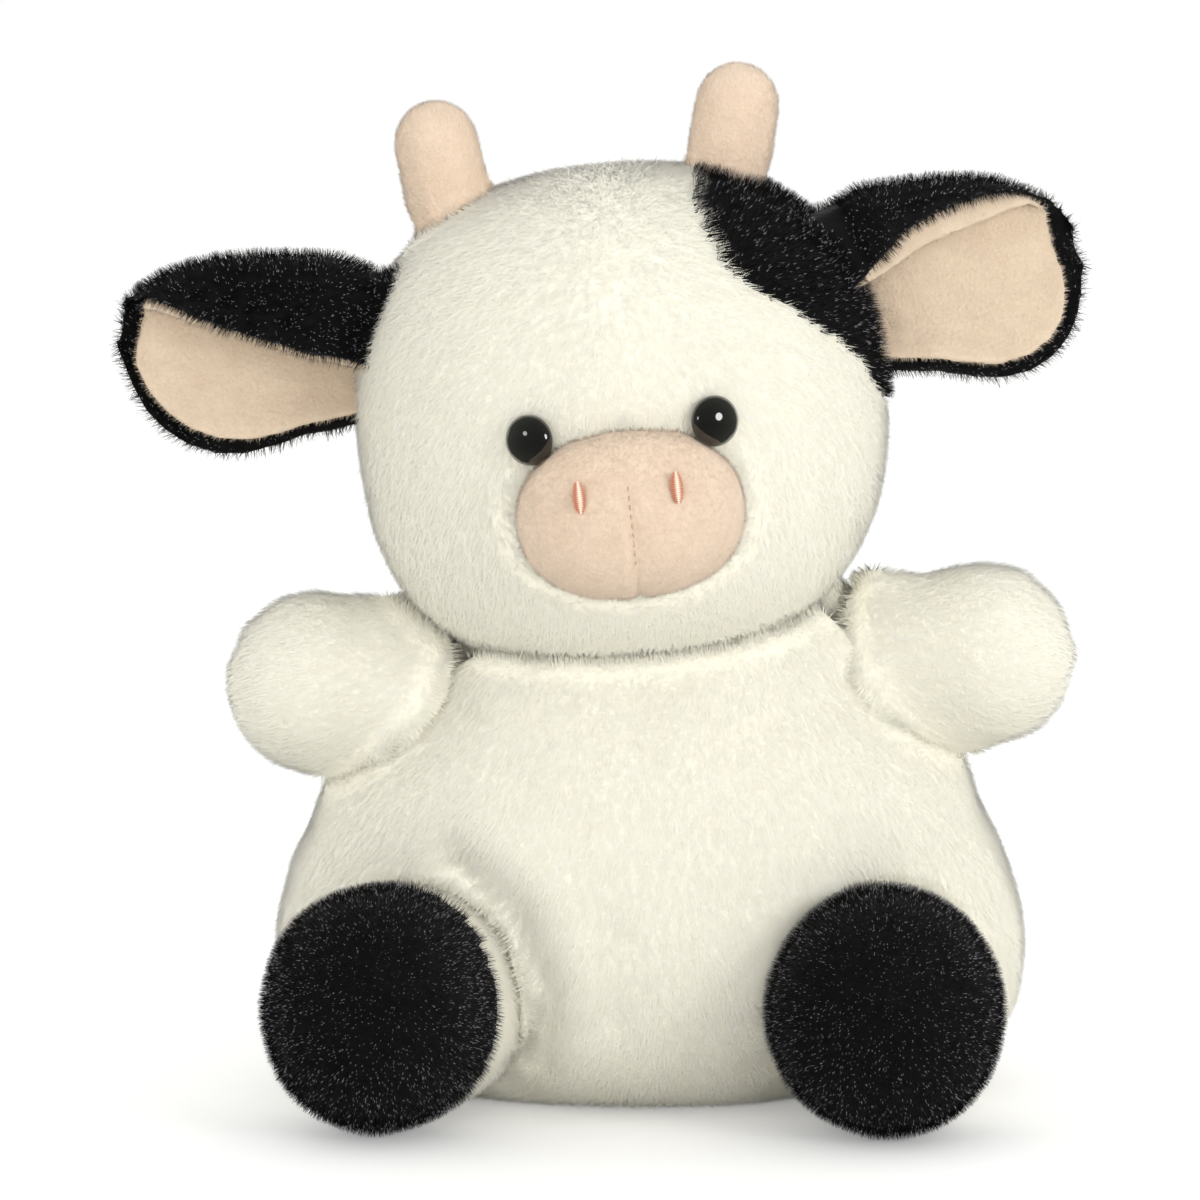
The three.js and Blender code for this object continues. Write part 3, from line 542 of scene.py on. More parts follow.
def sewn(name, stitches):
    """One piece of small stitches on the head, each with its middle and its half sizes"""
    tilt = Matrix.Rotation(math.asin(HEAD_UP[0]), 4, "Y")
    made = []
    for middle, half in stitches:
        deselect()
        bpy.ops.mesh.primitive_uv_sphere_add(segments=16, ring_count=10, radius=1)
        stitch = bpy.context.active_object
        across = stitch.data.attributes.new("across", "FLOAT", "POINT")
        across.data.foreach_set("value", places(stitch)[:, 0])
        stitch.data.transform(Matrix.Translation(middle) @ tilt @ Matrix.Diagonal((*half, 1)))
        made.append(stitch)
    deselect()
    for stitch in made:
        stitch.select_set(True)
    piece = made[0]
    bpy.context.view_layer.objects.active = piece
    bpy.ops.object.join()
    piece.name = piece.data.name = name
    shade(piece)
    return piece


def tree_of(*pieces):
    """One search tree over several meshes"""
    points, faces = [], []
    for piece in pieces:
        start = len(points)
        points += [tuple(v.co) for v in piece.data.vertices]
        faces += [[start + i for i in p.vertices] for p in piece.data.polygons]
    return BVHTree.FromPolygons(points, faces)


def solids(*names):
    """One search tree over CAD nodes"""
    return tree_of(*(frame["nodes"][name] for name in names))


def panels_of(form, panels, wall, pulls=()):
    """Cuts a form along its seams into panels of cloth. Each face goes to the CAD cover that it
    lies on, then the form is pulled as listed, and each panel gets the thickness of its cloth"""
    trees = [tree_of(frame["nodes"][node]) for node in panels]
    mesh = form.data
    owner = []
    for face in mesh.polygons:
        gaps = [tree.find_nearest(face.center + face.normal * MM)[3] for tree in trees]
        owner.append(gaps.index(min(gaps)))
    nudge(form, pulls)
    made = []
    for i, node in enumerate(panels):
        panel = add_object(f"{node}_cloth", mesh.copy())
        work = bmesh.new()
        work.from_mesh(panel.data)
        work.faces.ensure_lookup_table()
        spare = [face for face, mine in zip(work.faces, owner, strict=True) if mine != i]
        bmesh.ops.delete(work, geom=spare, context="FACES")
        work.to_mesh(panel.data)
        work.free()
        made.append(panel)
    bpy.data.objects.remove(form)
    surfaces = [surface_of(panel) for panel in made]
    for panel in made:
        use_modifier(panel, "SOLIDIFY", thickness=wall, offset=-1)
        shade(panel)
    return made, surfaces


def shade(piece):
    pick(piece)
    bpy.ops.object.shade_smooth()


def bend(parent, body, joint_name, towards, reach):
    """Where cloth bends from one body to the next: the two bodies and both ends of the bend"""
    start = np.array(joint(joint_name)["pos_m"])
    return parent, body, start, start + unit(np.array(towards) - start) * reach


def middle_of(node):
    low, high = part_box(node)
    return np.array(low + high) / 2


def dress(piece, body, materials, replaces=()):
    """Gives a piece its materials and hangs it on its body. A piece on a bend hangs on none"""
    for material in materials:
        piece.data.materials.append(material)
    if isinstance(body, tuple):
        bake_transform(piece)
    else:
        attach(piece, body)
    if replaces:
        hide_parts(*replaces)


def cover(cloth, node, body, look, strands, seed, lay, surface=None, fill=None, **limits):
    """Dresses the cloth that stands for a CAD cover, and plants its pile. Pale fibres let the
    light through, so they cast no shadow"""
    slot, backing, fibres = LOOKS[look]
    surface = surface or surface_of(cloth)
    dress(cloth, body, [backing()], [node])
    for piece in plant(f"{node}_pile", surface, strands, seed, lay, **limits):
        dress(piece, body, fibres())
        piece.visible_shadow = look == "black"


# Pile: short strands planted over a surface

# Steps across and along that fill a square evenly
GOLDEN_STEPS = (0.7548776662, 0.5698402910)
# How far from a root lies what may cover it, and what may draw its strand, in strand lengths
COVER_REACH = 1.8
GAP_REACH = 1.7
# Where a strand's painted highlight, a pale cap on its end, starts, and the cap's share of width
PAINTED_GLINT_START = 0.74
PAINTED_GLINT_WIDTH = 0.85
# A strand has three triangles, which keeps each mesh under 200000
STRANDS_PER_MESH = 66000


def surface_of(piece):
    """Corner places and outward ways of each triangle of a mesh"""
    mesh = piece.data
    mesh.calc_loop_triangles()
    corners = np.empty(len(mesh.loop_triangles) * 3, dtype=np.int32)
    mesh.loop_triangles.foreach_get("vertices", corners)
    corners = corners.reshape(-1, 3)
    return places(piece)[corners], out_of(piece)[corners]


def scatter(surface, density, random):
    """Roots spread evenly over a surface, at so many for each square metre, each a little
    astray"""
    corners, outs = surface
    cross = np.cross(corners[:, 1] - corners[:, 0], corners[:, 2] - corners[:, 0])
    ends = np.cumsum(np.linalg.norm(cross, axis=1) / 2) * density
    order = np.arange(int(ends[-1]))
    picked = np.searchsorted(ends, order + 0.5)
    steps = np.outer(GOLDEN_STEPS, order) + random.uniform(-0.1, 0.1, (2, len(order)))
    a, b = steps % 1
    over = a + b > 1
    a[over], b[over] = 1 - a[over], 1 - b[over]
    weights = np.stack([1 - a - b, a, b], axis=1)[:, :, None]
    return (corners[picked] * weights).sum(1), unit((outs[picked] * weights).sum(1))


def uncovered(roots, outs, near, reach, margin):
    """True for each root in the open, and for those within margin of one in the open"""
    bare = np.array([
        near.ray_cast(Vector(root + out * 0.05 * MM), Vector(out), reach)[0] is None
        for root, out in zip(roots, outs, strict=True)
    ], dtype=bool)
    if bare.all() or not bare.any():
        return bare
    open_roots = roots[bare]
    finder = KDTree(len(open_roots))
    for i, root in enumerate(open_roots):
        finder.insert(root, i)
    finder.balance()
    for i in np.flatnonzero(~bare):
        bare[i] = finder.find(roots[i])[2] < margin
    return bare


def across_gap(roots, outs, near, within):
    """The way from each root to what lies within reach, and how much it draws the strand"""
    way, pull = np.zeros_like(roots), np.zeros((len(roots), 1))
    for i, root in enumerate(roots):
        place, _, _, distance = near.find_nearest(Vector(root), within)
        if place is not None:
            way[i] = np.array(place) - root
            pull[i] = 1 - distance / within
    way -= outs * (way * outs).sum(1, keepdims=True)
    return unit(way), pull


def strand_meshes(name, points, normals, shades):
    """Meshes of three-sided strands, split where there are too many for one"""
    pieces = []
    parts = -(-len(points) // STRANDS_PER_MESH)
    order = np.argsort(points[:, 3, 0]) if parts > 1 else np.arange(len(points))
    for part, chosen in enumerate(np.array_split(order, parts)):
        count = len(chosen)
        index = np.array([[1, 0, 3], [2, 1, 3], [0, 2, 3]])
        faces = (np.arange(count)[:, None, None] * 4 + index).reshape(-1, 3)
        title = name if parts == 1 else f"{name}_{part + 1}"
        mesh = bpy.data.meshes.new(title)
        mesh.vertices.add(count * 4)
        mesh.vertices.foreach_set("co", points[chosen].ravel())
        mesh.loops.add(faces.size)
        mesh.loops.foreach_set("vertex_index", faces.ravel())
        mesh.polygons.add(len(faces))
        mesh.polygons.foreach_set("loop_start", np.arange(len(faces)) * 3)
        mesh.polygons.foreach_set("material_index", shades[chosen].repeat(3))
        mesh.polygons.foreach_set("use_smooth", np.ones(len(faces), dtype=bool))
        mesh.update(calc_edges=True)
        mesh.normals_split_custom_set_from_vertices(normals[chosen].reshape(-1, 3))
        pieces.append(add_object(title, mesh))
    return pieces


def plant(name, surface, pile, seed, lay, near=None, margin=5 * MM, clear=()):
    """Plants a pile over a surface. pile holds the strands' density, length, half width, lean
    and unevenness, lay gives the way they lean, near is what may cover them or stand beside
    them, and clear lists places, with a radius, that stay bare"""
    random = np.random.default_rng(seed)
    roots, outs = scatter(surface, pile["density"], random)
    keep = np.ones(len(roots), dtype=bool)
    for place, radius in clear:
        keep &= np.linalg.norm(roots - np.array(place), axis=1) > radius
    roots, outs = roots[keep], outs[keep]
    if near is not None:
        keep = uncovered(roots, outs, near, pile["length"] * COVER_REACH, margin)
        roots, outs = roots[keep], outs[keep]
    count = len(roots)
    wanted = unit(np.asarray(lay(roots), dtype=float) * np.ones((count, 1)))
    pull = np.zeros((count, 1))
    if near is not None:
        towards, pull = across_gap(roots, outs, near, pile["length"] * GAP_REACH)
        wanted = wanted * (1 - pull) + towards * pull * 2
    tufts = np.stack([ripples(roots, pile["tuft"], seed + k) for k in range(3)], axis=1)
    fine = random.normal(size=(count, 3))
    flow = wanted + pile["stray"] * (pile["swirl"] * tufts + 0.5 * fine)
    flow = unit(flow - outs * (flow * outs).sum(1, keepdims=True))
    lean = np.radians(pile["lean"]) * random.uniform(*pile["spread"], (count, 1))
    lean[random.random(count) < pile["upright"]] *= 0.45
    lean *= 1 - 0.2 * pull
    ways = unit(outs * np.cos(lean) + flow * np.sin(lean))
    length = pile["length"] * random.uniform(0.75, 1.1, (count, 1)) * (1 + 0.05 * pull)
    length *= 1 + 0.04 * ripples(roots, 2.2 * pile["tuft"], seed + 5)[:, None]
    width = pile["half_width"] * random.uniform(0.8, 1.25, (count, 1))
    shades = random.choice(3, count, p=pile["mix"])
    side = unit(np.cross(ways, outs + pile["roll"] * fine))
    up = np.cross(side, ways)
    base = roots - outs * pile["root"]
    run = ways * (length + pile["root"] / np.cos(lean))
    points = strand_points(base, width, side, up, base + run)
    own = np.stack([side, -side, -up, up * 0.5], axis=1) + 0.8 * up[:, None]
    normals = unit(own * pile["round"] + outs[:, None])
    # Some strands get a pale cap over their end, in the third shade: a painted highlight
    painted_glint = random.random(count) < pile["glints"]
    start = base + PAINTED_GLINT_START * run
    ends = strand_points(start, PAINTED_GLINT_WIDTH * width, side, up, base + run)[painted_glint]
    return strand_meshes(
        name,
        np.concatenate([points, ends]),
        np.concatenate([normals, normals[painted_glint]]),
        np.concatenate([shades, np.full(len(ends), 2)]),
    )


def strand_points(base, width, side, up, tip):
    """Three corners at each strand's foot and its tip, none of them below the floor"""
    foot = [base + width * side, base - width * side, base - width * up * 0.7]
    points = np.stack([*foot, tip], axis=1)
    points[:, :, 2] = np.maximum(points[:, :, 2], 0.05 * MM)
    return points


def strands_of(density, length, half_width, changes, **common):
    """One pile's strands, with the changes that a piece makes to them"""
    pile = {
        "density": density / MM**2,
        "length": length,
        "half_width": half_width,
        "root": 0.3 * MM,
        "upright": 0.12,
        "spread": (0.7, 1.25),
        "glints": 0,
    }
    return pile | common | changes


def white_strands(settings, **changes):
    return strands_of(
        settings.white_density, settings.white_length, 0.08 * MM, changes,
        lean=66, stray=0.3, swirl=0.05, tuft=7 * MM, roll=0.1, round=0.05, mix=[0.6, 0.3, 0.1],
        upright=0.04, spread=(0.93, 1.05),
    )


def black_strands(settings, **changes):
    return strands_of(
        settings.black_density, settings.black_length, 0.055 * MM, changes,
        lean=22, stray=0.9, swirl=0.4, tuft=4 * MM, roll=0.8, round=1.2, mix=[0.7, 0.3, 0],
        glints=0.15,
    )


def peach_strands(settings, **changes):
    return strands_of(
        settings.peach_density, settings.peach_length, 0.045 * MM, changes,
        lean=62, stray=0.6, swirl=0.3, tuft=3 * MM, roll=0.2, round=0.15, mix=[0.6, 0.3, 0.1],
    )


# Pieces

# How the stuffing sags from its round forms: places, radii and ways to move, all in mm. The
# cloth over it goes along
SAGS = {
    "head_stuffing": [((38, -12, 66), 14, (-1.6, 0, 0.8))],
    "leg_stuffing_left": [((28, -38, 0), 9, (0, 0, 0.9))],
    "leg_stuffing_right": [
        ((-33, -36, 16), 24, (-0.9, 0, 0)),
        ((-18, -31, 16), 11, (-1.7, 0, 0)),
        ((-43, -38, 27), 9, (-0.7, 0, 0.8)),
        ((-43, -38, 3), 7, (-0.8, 0, -0.3)),
        ((-22, -38, 4), 9, (-1, 0, 1.2)),
        ((-33, -38, 0), 8, (0, 0, 0.9)),
    ],
    "body_stuffing": [
        ((-18.3, 0.5, 55.5), 6, (0, -6, 1)),
        ((28.5, -0.3, 60.6), 5, (0, -6, 1)),
    ],
}


def number(name, description, default, unit="NONE"):
    """A number in the sidebar, with the value that it starts from"""
    return bpy.props.FloatProperty(
        name=name, description=description, default=default, unit=unit
    )


class PlushCowSettings(bpy.types.PropertyGroup):
    white_length: number("White pile", "Length of the white strands", 1.6 * MM, "LENGTH")
    black_length: number("Black pile", "Length of the black strands", 1.8 * MM, "LENGTH")
    peach_length: number("Peach pile", "Length of the peach strands", 0.65 * MM, "LENGTH")
    white_density: number("White strands", "White strands for each square millimetre", 9.0)
    black_density: number("Black strands", "Black strands for each square millimetre", 13.0)
    peach_density: number("Peach strands", "Peach strands for each square millimetre", 18.0)
    cloth_wall: number("Cloth", "Thickness of the knitted backing", 0.7 * MM, "LENGTH")
    key_power: number("Key lamp", "Power of the large soft lamp", 1.8, "POWER")
    fill_power: number("Fill lamp", "Power of the lamp on the other side", 0.4, "POWER")
    front_power: number("Front lamp", "Power of the broad lamp by the camera", 2.3, "POWER")
    room_light: number("Room", "Strength of the light from all round", 0.97)


class PieceOperator:
    bl_options = {"REGISTER", "UNDO"}

    def execute(self, context):
        self.make(context.scene.plush_cow)
        return {"FINISHED"}


def eye_places():
    """Middle of each eye's dome and the way that it faces, from its CAD solid"""
    found = {}
    for name in SIDES:
        co = places(frame["nodes"][f"eye_{name}"])
        away = np.linalg.norm(co - HEAD_CENTRE, axis=1)
        apex, end = co[away.argmax()], co[away.argmin()]
        found[name] = (apex, unit(apex - end))
    return found


def bare_eyes():
    return [(apex - way * 1.6 * MM, 2.75 * MM) for apex, way in eye_places().values()]


class COW_OT_head(PieceOperator, bpy.types.Operator):
    """Face, back and black patch of the head, cut from one stuffed ball"""

    bl_idname = "plush_cow.head"
    bl_label = "Head"

    def make(self, settings):
        nodes = ["head_face", "head_back", "head_patch"]
        form = stuffed_form(
            "head_form", [*nodes, "head_stuffing"],
            voxel=1.3 * MM, rounds=22, inset=0.25 * MM, cap=0.8 * MM,
        )
        cloths, surfaces = panels_of(form, nodes, settings.cloth_wall, SAGS["head_stuffing"])
        near = solids(
            "body_front", "body_back", "muzzle_cover", "horn_cover_left", "horn_cover_right"
        )

        def outward(points):
            place = in_head(points)
            flow = place * [1, 0.4, 1]
            flow[:, 2] -= 14 * MM
            return flow[:, :1] * HEAD_SIDE + flow[:, 1:2] * [0, 1, 0] + flow[:, 2:] * HEAD_UP

        for node, cloth, surface in zip(nodes, cloths, surfaces, strict=True):
            dark = node == "head_patch"
            cover(
                cloth, node, "head", "black" if dark else "white",
                black_strands(settings, glints=0.08) if dark else white_strands(settings),
                11 + len(node), outward, surface, fill=0.85, near=near, clear=bare_eyes(),
            )


class COW_OT_muzzle(PieceOperator, bpy.types.Operator):
    """Padded snout with its centre seam and two satin-stitched nostrils"""

    bl_idname = "plush_cow.muzzle"
    bl_label = "Muzzle"

    def make(self, settings):
        form = stuffed_form(
            "muzzle_cover_cloth", ["muzzle_cover", "muzzle_stuffing"],
            voxel=0.7 * MM, rounds=40, inset=0.25 * MM,
        )
        near = solids("head_face")
        reach_for(form, near, within=2.5 * MM, share=1, sink=0.9 * MM)
        self.draw_in(form)
        shade(form)
        self.seam(tree_of(form))

        def downward(points):
            place = in_head(points)
            return place[:, :1] * HEAD_SIDE - 12 * MM * HEAD_UP

        clear = [
            (middle_of(f"nostril_stitch_{name}") + HEAD_UP * rise * MM, 0.6 * MM)
            for name in SIDES
            for rise in (-1, 0, 1)
        ]
        cover(
            form, "muzzle_cover", "head", "muzzle", peach_strands(settings), 31, downward,
            fill=0.8, near=near, margin=1 * MM, clear=clear,
        )
        for name in SIDES:
            self.nostril(name)

    def draw_in(self, form):
        """Draws a groove in along the centre seam, from 5.5 mm below the head's centre"""
        co, out = places(form), out_of(form)
        place = in_head(co)
        low = np.clip((-5.5 * MM - place[:, 2]) / (3 * MM), 0, 1)
        groove = np.exp(-((place[:, 0] / (0.6 * MM)) ** 2)) * low
        move_to(form, co - out * (0.6 * MM * groove * (out[:, 1] < 0.2))[:, None])

    def nostril(self, name):
        """A stack of short stitches across the nostril, longest in the middle"""
        middle = middle_of(f"nostril_stitch_{name}") + [0, 0.15 * MM, 0]
        half = 1.75 * MM
        rows = 15
        stitches = []
        for i in range(rows):
            share = 2 * i / (rows - 1) - 1
            reach = 0.85 * MM * math.sqrt(1 - 0.8 * share**2)
            stitches.append((middle + HEAD_UP * half * share, (reach, 0.42 * MM, 0.15 * MM)))
        piece = sewn(f"nostril_stitches_{name}", stitches)
        dress(piece, "head", [stitch_thread()], [f"nostril_stitch_{name}"])

    def seam(self, skin):
        """Small running stitches that draw the centre seam in"""
        stitches = []
        for i in range(9):
            start = HEAD_CENTRE + HEAD_UP * (-5.4 - 1.1 * i) * MM - [0, 60 * MM, 0]
            place = skin.ray_cast(Vector(start), Vector((0, 1, 0)))[0]
            if place:
                stitches.append((np.array(place), (0.1 * MM, 0.14 * MM, 0.36 * MM)))
        dress(sewn("muzzle_seam_stitches", stitches), "head", [seam_thread()])


class COW_OT_eyes(PieceOperator, bpy.types.Operator):
    """Domed eyes with their shanks, and the lock washers behind the cloth"""

    bl_idname = "plush_cow.eyes"
    bl_label = "Eyes"

    def make(self, settings):
        for name, (apex, way) in eye_places().items():
            piece = self.turned(f"eye_dome_{name}")
            turn = Vector((0, 0, 1)).rotation_difference(Vector(way)).to_matrix().to_4x4()
            piece.data.transform(Matrix.Translation(apex) @ turn)
            shade(piece)
            dress(piece, "head", [eye_gloss()], [f"eye_{name}"])
            washer = frame["nodes"][f"eye_washer_{name}"]
            washer.data.materials.clear()
            washer.data.materials.append(washer_nylon())

    def turned(self, name):
        """Half of the outline, from the shank's end to the apex, spun round"""
        outline = [(0, -7.4), (1.0, -7.4), (1.1, -7.2), (1.1, -2.6), (2.6, -2.5), (2.98, -2.2)]
        for i in range(13):
            angle = math.pi / 2 * i / 12
            outline.append((3.05 * math.cos(angle) ** 0.92, -1.9 + 1.9 * math.sin(angle)))
        mesh = bpy.data.meshes.new(name)
        points = [(max(x, 0) * MM, 0, z * MM) for x, z in outline]
        mesh.from_pydata(points, [(i, i + 1) for i in range(len(points) - 1)], [])
        piece = add_object(name, mesh)
        pick(piece)
        bpy.ops.object.mode_set(mode="EDIT")
        bpy.ops.mesh.select_all(action="SELECT")
        bpy.ops.mesh.spin(steps=48, angle=2 * math.pi, center=(0, 0, 0), axis=(0, 0, 1))
        bpy.ops.mesh.select_all(action="SELECT")
        bpy.ops.mesh.remove_doubles(threshold=0.001 * MM)
        bpy.ops.mesh.normals_make_consistent(inside=False)
        bpy.ops.object.mode_set(mode="OBJECT")
        return piece


class COW_OT_horns(PieceOperator, bpy.types.Operator):
    """Stuffed stub horns"""

    bl_idname = "plush_cow.horns"
    bl_label = "Horns"

    def make(self, settings):
        near = solids("head_face", "head_back", "head_patch")
        for name, side in SIDES.items():
            node = f"horn_cover_{name}"
            form = stuffed_form(
                f"{node}_cloth", [node, f"horn_stuffing_{name}"],
                voxel=0.6 * MM, rounds=16, inset=0.1 * MM,
            )
            reach_for(form, near, within=2.5 * MM, share=1, sink=0.8 * MM)
            shade(form)
            cover(
                form, node, "head", "horn", peach_strands(settings), 41 + side,
                lambda points: HEAD_UP, fill=0.9, near=near, margin=1 * MM,
            )


# Middle of each ear's tip, where the fold runs out, in mm
EAR_TIPS = {"left": (58.8, 3, 103), "right": (-59, 2, 85)}
# How the left ear's layers are drawn to their tip: places, radii and ways to move, all in mm
EAR_PULLS = {
    "ear_back_left": [((55, 3, 109.5), 3, (0.6, 0, 0.6)), ((57.6, 3, 105), 2.2, (0.7, 0, 0.2))],
    "ear_lining_left": [((58, 2, 101), 5, (-1.1, 0, 0))],
}


class COW_OT_ears(PieceOperator, bpy.types.Operator):
    """Ears, a black leaf over a peach lining, folded forward over the top"""

    bl_idname = "plush_cow.ears"
    bl_label = "Ears"

    def make(self, settings):
        backing = black_strands(
            settings, length=settings.black_length * 0.8, lean=34,
            density=settings.black_density * 1.2 / MM**2,
        )
        nap = peach_strands(settings, length=0.55 * MM, density=16 / MM**2, lean=48, stray=0.9)
        for name, side in SIDES.items():
            back, lining, flap = f"ear_back_{name}", f"ear_lining_{name}", f"ear_{name}_flap"
            root = np.array(joint(flap)["pos_m"])
            tip = np.array(EAR_TIPS[name]) * MM
            hinge = bend("head", f"ear_{name}", flap, tip, 9 * MM)

            def tipward(points, root=root):
                return points - root + [0, 0, 4 * MM]

            for node, other, look, strands, seed, inset, margin in (
                (back, lining, "black", backing, 51, 0.5 * MM, 0.3 * MM),
                (lining, back, "lining", nap, 61, 0.1 * MM, 0.2 * MM),
            ):
                near = solids(other)
                cover(
                    self.leaf(node, near, inset), node, hinge, look, strands, seed + side,
                    tipward, near=near, margin=margin,
                )

    def leaf(self, node, other, inset):
        """One layer of the ear as soft cloth, thinner on the side away from the other layer"""
        piece = copy_of(f"{node}_cloth", [node])
        use_modifier(piece, "REMESH", mode="VOXEL", voxel_size=0.5 * MM)
        keep_outside(piece)
        use_modifier(piece, "SMOOTH", factor=0.5, iterations=8)
        co, out = places(piece), out_of(piece)
        far = np.array([other.find_nearest(Vector(point))[3] for point in co]) > 0.85 * MM
        move_to(piece, co - out * inset * far[:, None])
        use_modifier(piece, "SMOOTH", factor=0.5, iterations=3)
        soften(piece, EAR_TIPS[node.rsplit("_", 1)[1]], radius=4, rounds=40)
        nudge(piece, EAR_PULLS.get(node, ()))
        head = solids("head_face", "head_back", "head_patch")
        reach_for(piece, head, within=6 * MM, share=1, sink=1.1 * MM)
        shade(piece)
        return piece


# Soft folds of the belly: points in x and z, depth and width, all in mm
BELLY_FOLDS = [
    ([(-19, 33), (-11.5, 27), (-7.5, 17), (-10, 9)], 1.4, 1.9),
    ([(-15, 37), (-6, 29), (-2.5, 17), (-5, 8)], -0.5, 3.0),
    ([(14, 49), (22, 51.5), (31, 53)], 0.7, 2.6),
    ([(-29, 57), (-24, 52), (-17, 50)], 0.6, 2.4),
    ([(1.5, 24), (0.5, 14)], 0.7, 2.4),
]


class COW_OT_body(PieceOperator, bpy.types.Operator):
    """Pear-shaped body in a front and a back panel, with its soft folds"""

    bl_idname = "plush_cow.body"
    bl_label = "Body"

    def make(self, settings):
        nodes = ["body_front", "body_back"]
        form = stuffed_form(
            "body_form", [*nodes, "body_stuffing", "pellet_bag"],
            voxel=1.5 * MM, rounds=16, inset=0.1 * MM, cap=0.8 * MM,
        )
        near = solids(
            "arm_cover_left", "arm_cover_right", "leg_cover_left", "leg_cover_right",
            "foot_pad_left", "foot_pad_right", "head_face", "head_back",
        )
        reach_for(form, near, within=7 * MM, share=0.95, sink=1.1 * MM)
        use_modifier(form, "SMOOTH", factor=0.5, iterations=6)
        press(form, BELLY_FOLDS)
        cloths, surfaces = panels_of(form, nodes, settings.cloth_wall, SAGS["body_stuffing"])

        def downward(points):
            return (points - [BODY_X, 0, 60 * MM]) * [0.6, 0.3, 0] + [0, 0, -18 * MM]

        for node, cloth, surface in zip(nodes, cloths, surfaces, strict=True):
            cover(
                cloth, node, "body", "white", white_strands(settings), 71 + len(node),
                downward, surface, fill=0.6, near=near,
            )


class COW_OT_arms(PieceOperator, bpy.types.Operator):
    """Stub arms, swollen towards their ends"""

    bl_idname = "plush_cow.arms"
    bl_label = "Arms"

    def make(self, settings):
        near = solids("body_front", "body_back", "head_face", "head_back")
        for name, side in SIDES.items():
            node = f"arm_cover_{name}"
            form = stuffed_form(
                f"{node}_cloth", [node, f"arm_stuffing_{name}"],
                voxel=1.1 * MM, rounds=18, inset=0.15 * MM, cap=0.6 * MM,
            )
            reach_for(form, near, within=6 * MM, share=0.85, sink=0.8 * MM)
            shade(form)
            shoulder = bend("body", f"arm_{name}", f"arm_{name}_lift", middle_of(node), 8 * MM)
            cover(
                form, node, shoulder, "white", white_strands(settings), 81 + side,
                lambda points, side=side: np.array([side, 0, -0.25]), fill=0.75, near=near,
            )


class COW_OT_legs(PieceOperator, bpy.types.Operator):
    """Legs, each a white tube and a black domed foot"""

    bl_idname = "plush_cow.legs"
    bl_label = "Legs"

    def make(self, settings):
        near = solids("body_front", "body_back")
        foot_strands = black_strands(
            settings, lean=14, length=settings.black_length * 0.7, stray=2,
            density=settings.black_density * 1.2 / MM**2,
        )
        for name, side in SIDES.items():
            nodes = [f"leg_cover_{name}", f"foot_pad_{name}"]
            stuffing = f"leg_stuffing_{name}"
            form = stuffed_form(
                f"leg_{name}_form", [*nodes, stuffing],
                voxel=1.2 * MM, rounds=18, inset=0.4 * MM, cap=0.6 * MM,
            )
            hip = bend("body", f"leg_{name}", f"leg_{name}_lift", middle_of(nodes[1]), 12 * MM)
            cloths, surfaces = panels_of(form, nodes, settings.cloth_wall, SAGS[stuffing])
            looks = (
                (hip, "white", white_strands(settings), 91),
                (f"leg_{name}", "black", foot_strands, 96),
            )
            for node, cloth, surface, (body, look, strands, seed) in zip(
                nodes, cloths, surfaces, looks, strict=True
            ):
                cover(
                    cloth, node, body, look, strands, seed + side, self.outward(node),
                    surface, fill=0.8, near=near,
                )

    def outward(self, node):
        """The pile lies away from the middle of its piece, and a little downwards"""
        middle = middle_of(node)

        def lay(points):
            return (points - middle) * [1, 0, 1] + [0, 0, -25 * MM]

        return lay


class COW_OT_tail(PieceOperator, bpy.types.Operator):
    """Short tail with a black tuft"""

    bl_idname = "plush_cow.tail"
    bl_label = "Tail"

    def make(self, settings):
        for node, look, strands, seed in (
            ("tail_cover", "white", white_strands(settings, length=1.2 * MM), 101),
            ("tail_tuft", "black", black_strands(settings), 102),
        ):
            form = stuffed_form(
                f"{node}_cloth", [node], voxel=0.5 * MM, rounds=10, inset=0.4 * MM
            )
            shade(form)
            cover(
                form, node, "tail", look, strands, seed,
                lambda points: np.array([0, 0.3, -1.0]), fill=0.8,
            )


class COW_OT_filling(PieceOperator, bpy.types.Operator):
    """Fibre filling and pellet bag inside the covers"""

    bl_idname = "plush_cow.filling"
    bl_label = "Filling"

    def make(self, settings):
        members = frame["record"]["behaviour"]["bodies"]
        for body, nodes in members.items():
            for node in nodes:
                if node.endswith("_bag") or "stuffing" in node:
                    self.fill(node, body)

    def fill(self, node, body):
        bag = node == "pellet_bag"
        voxel = (1.8 if bag else 1.5) * MM
        form = stuffed_form(f"{node}_soft", [node], voxel, rounds=6, inset=0.9 * MM)
        if node.startswith(("head", "leg")):
            nudge(form, SAGS[node])
        shade(form)
        dress(form, body, [pellet_cloth() if bag else fibre_fill()], [node])


# The photograph's view: how far the camera stands, how steeply it looks down, the width that
# its frame takes in and the place in the frame's middle
CAMERA_DISTANCE = 750 * MM
CAMERA_TILT = math.radians(8)
FRAME_WIDTH = 147.6 * MM
FRAME_MIDDLE = Vector((-0.81 * MM, -2.185 * MM, 61.3 * MM))
SENSOR_WIDTH = 36


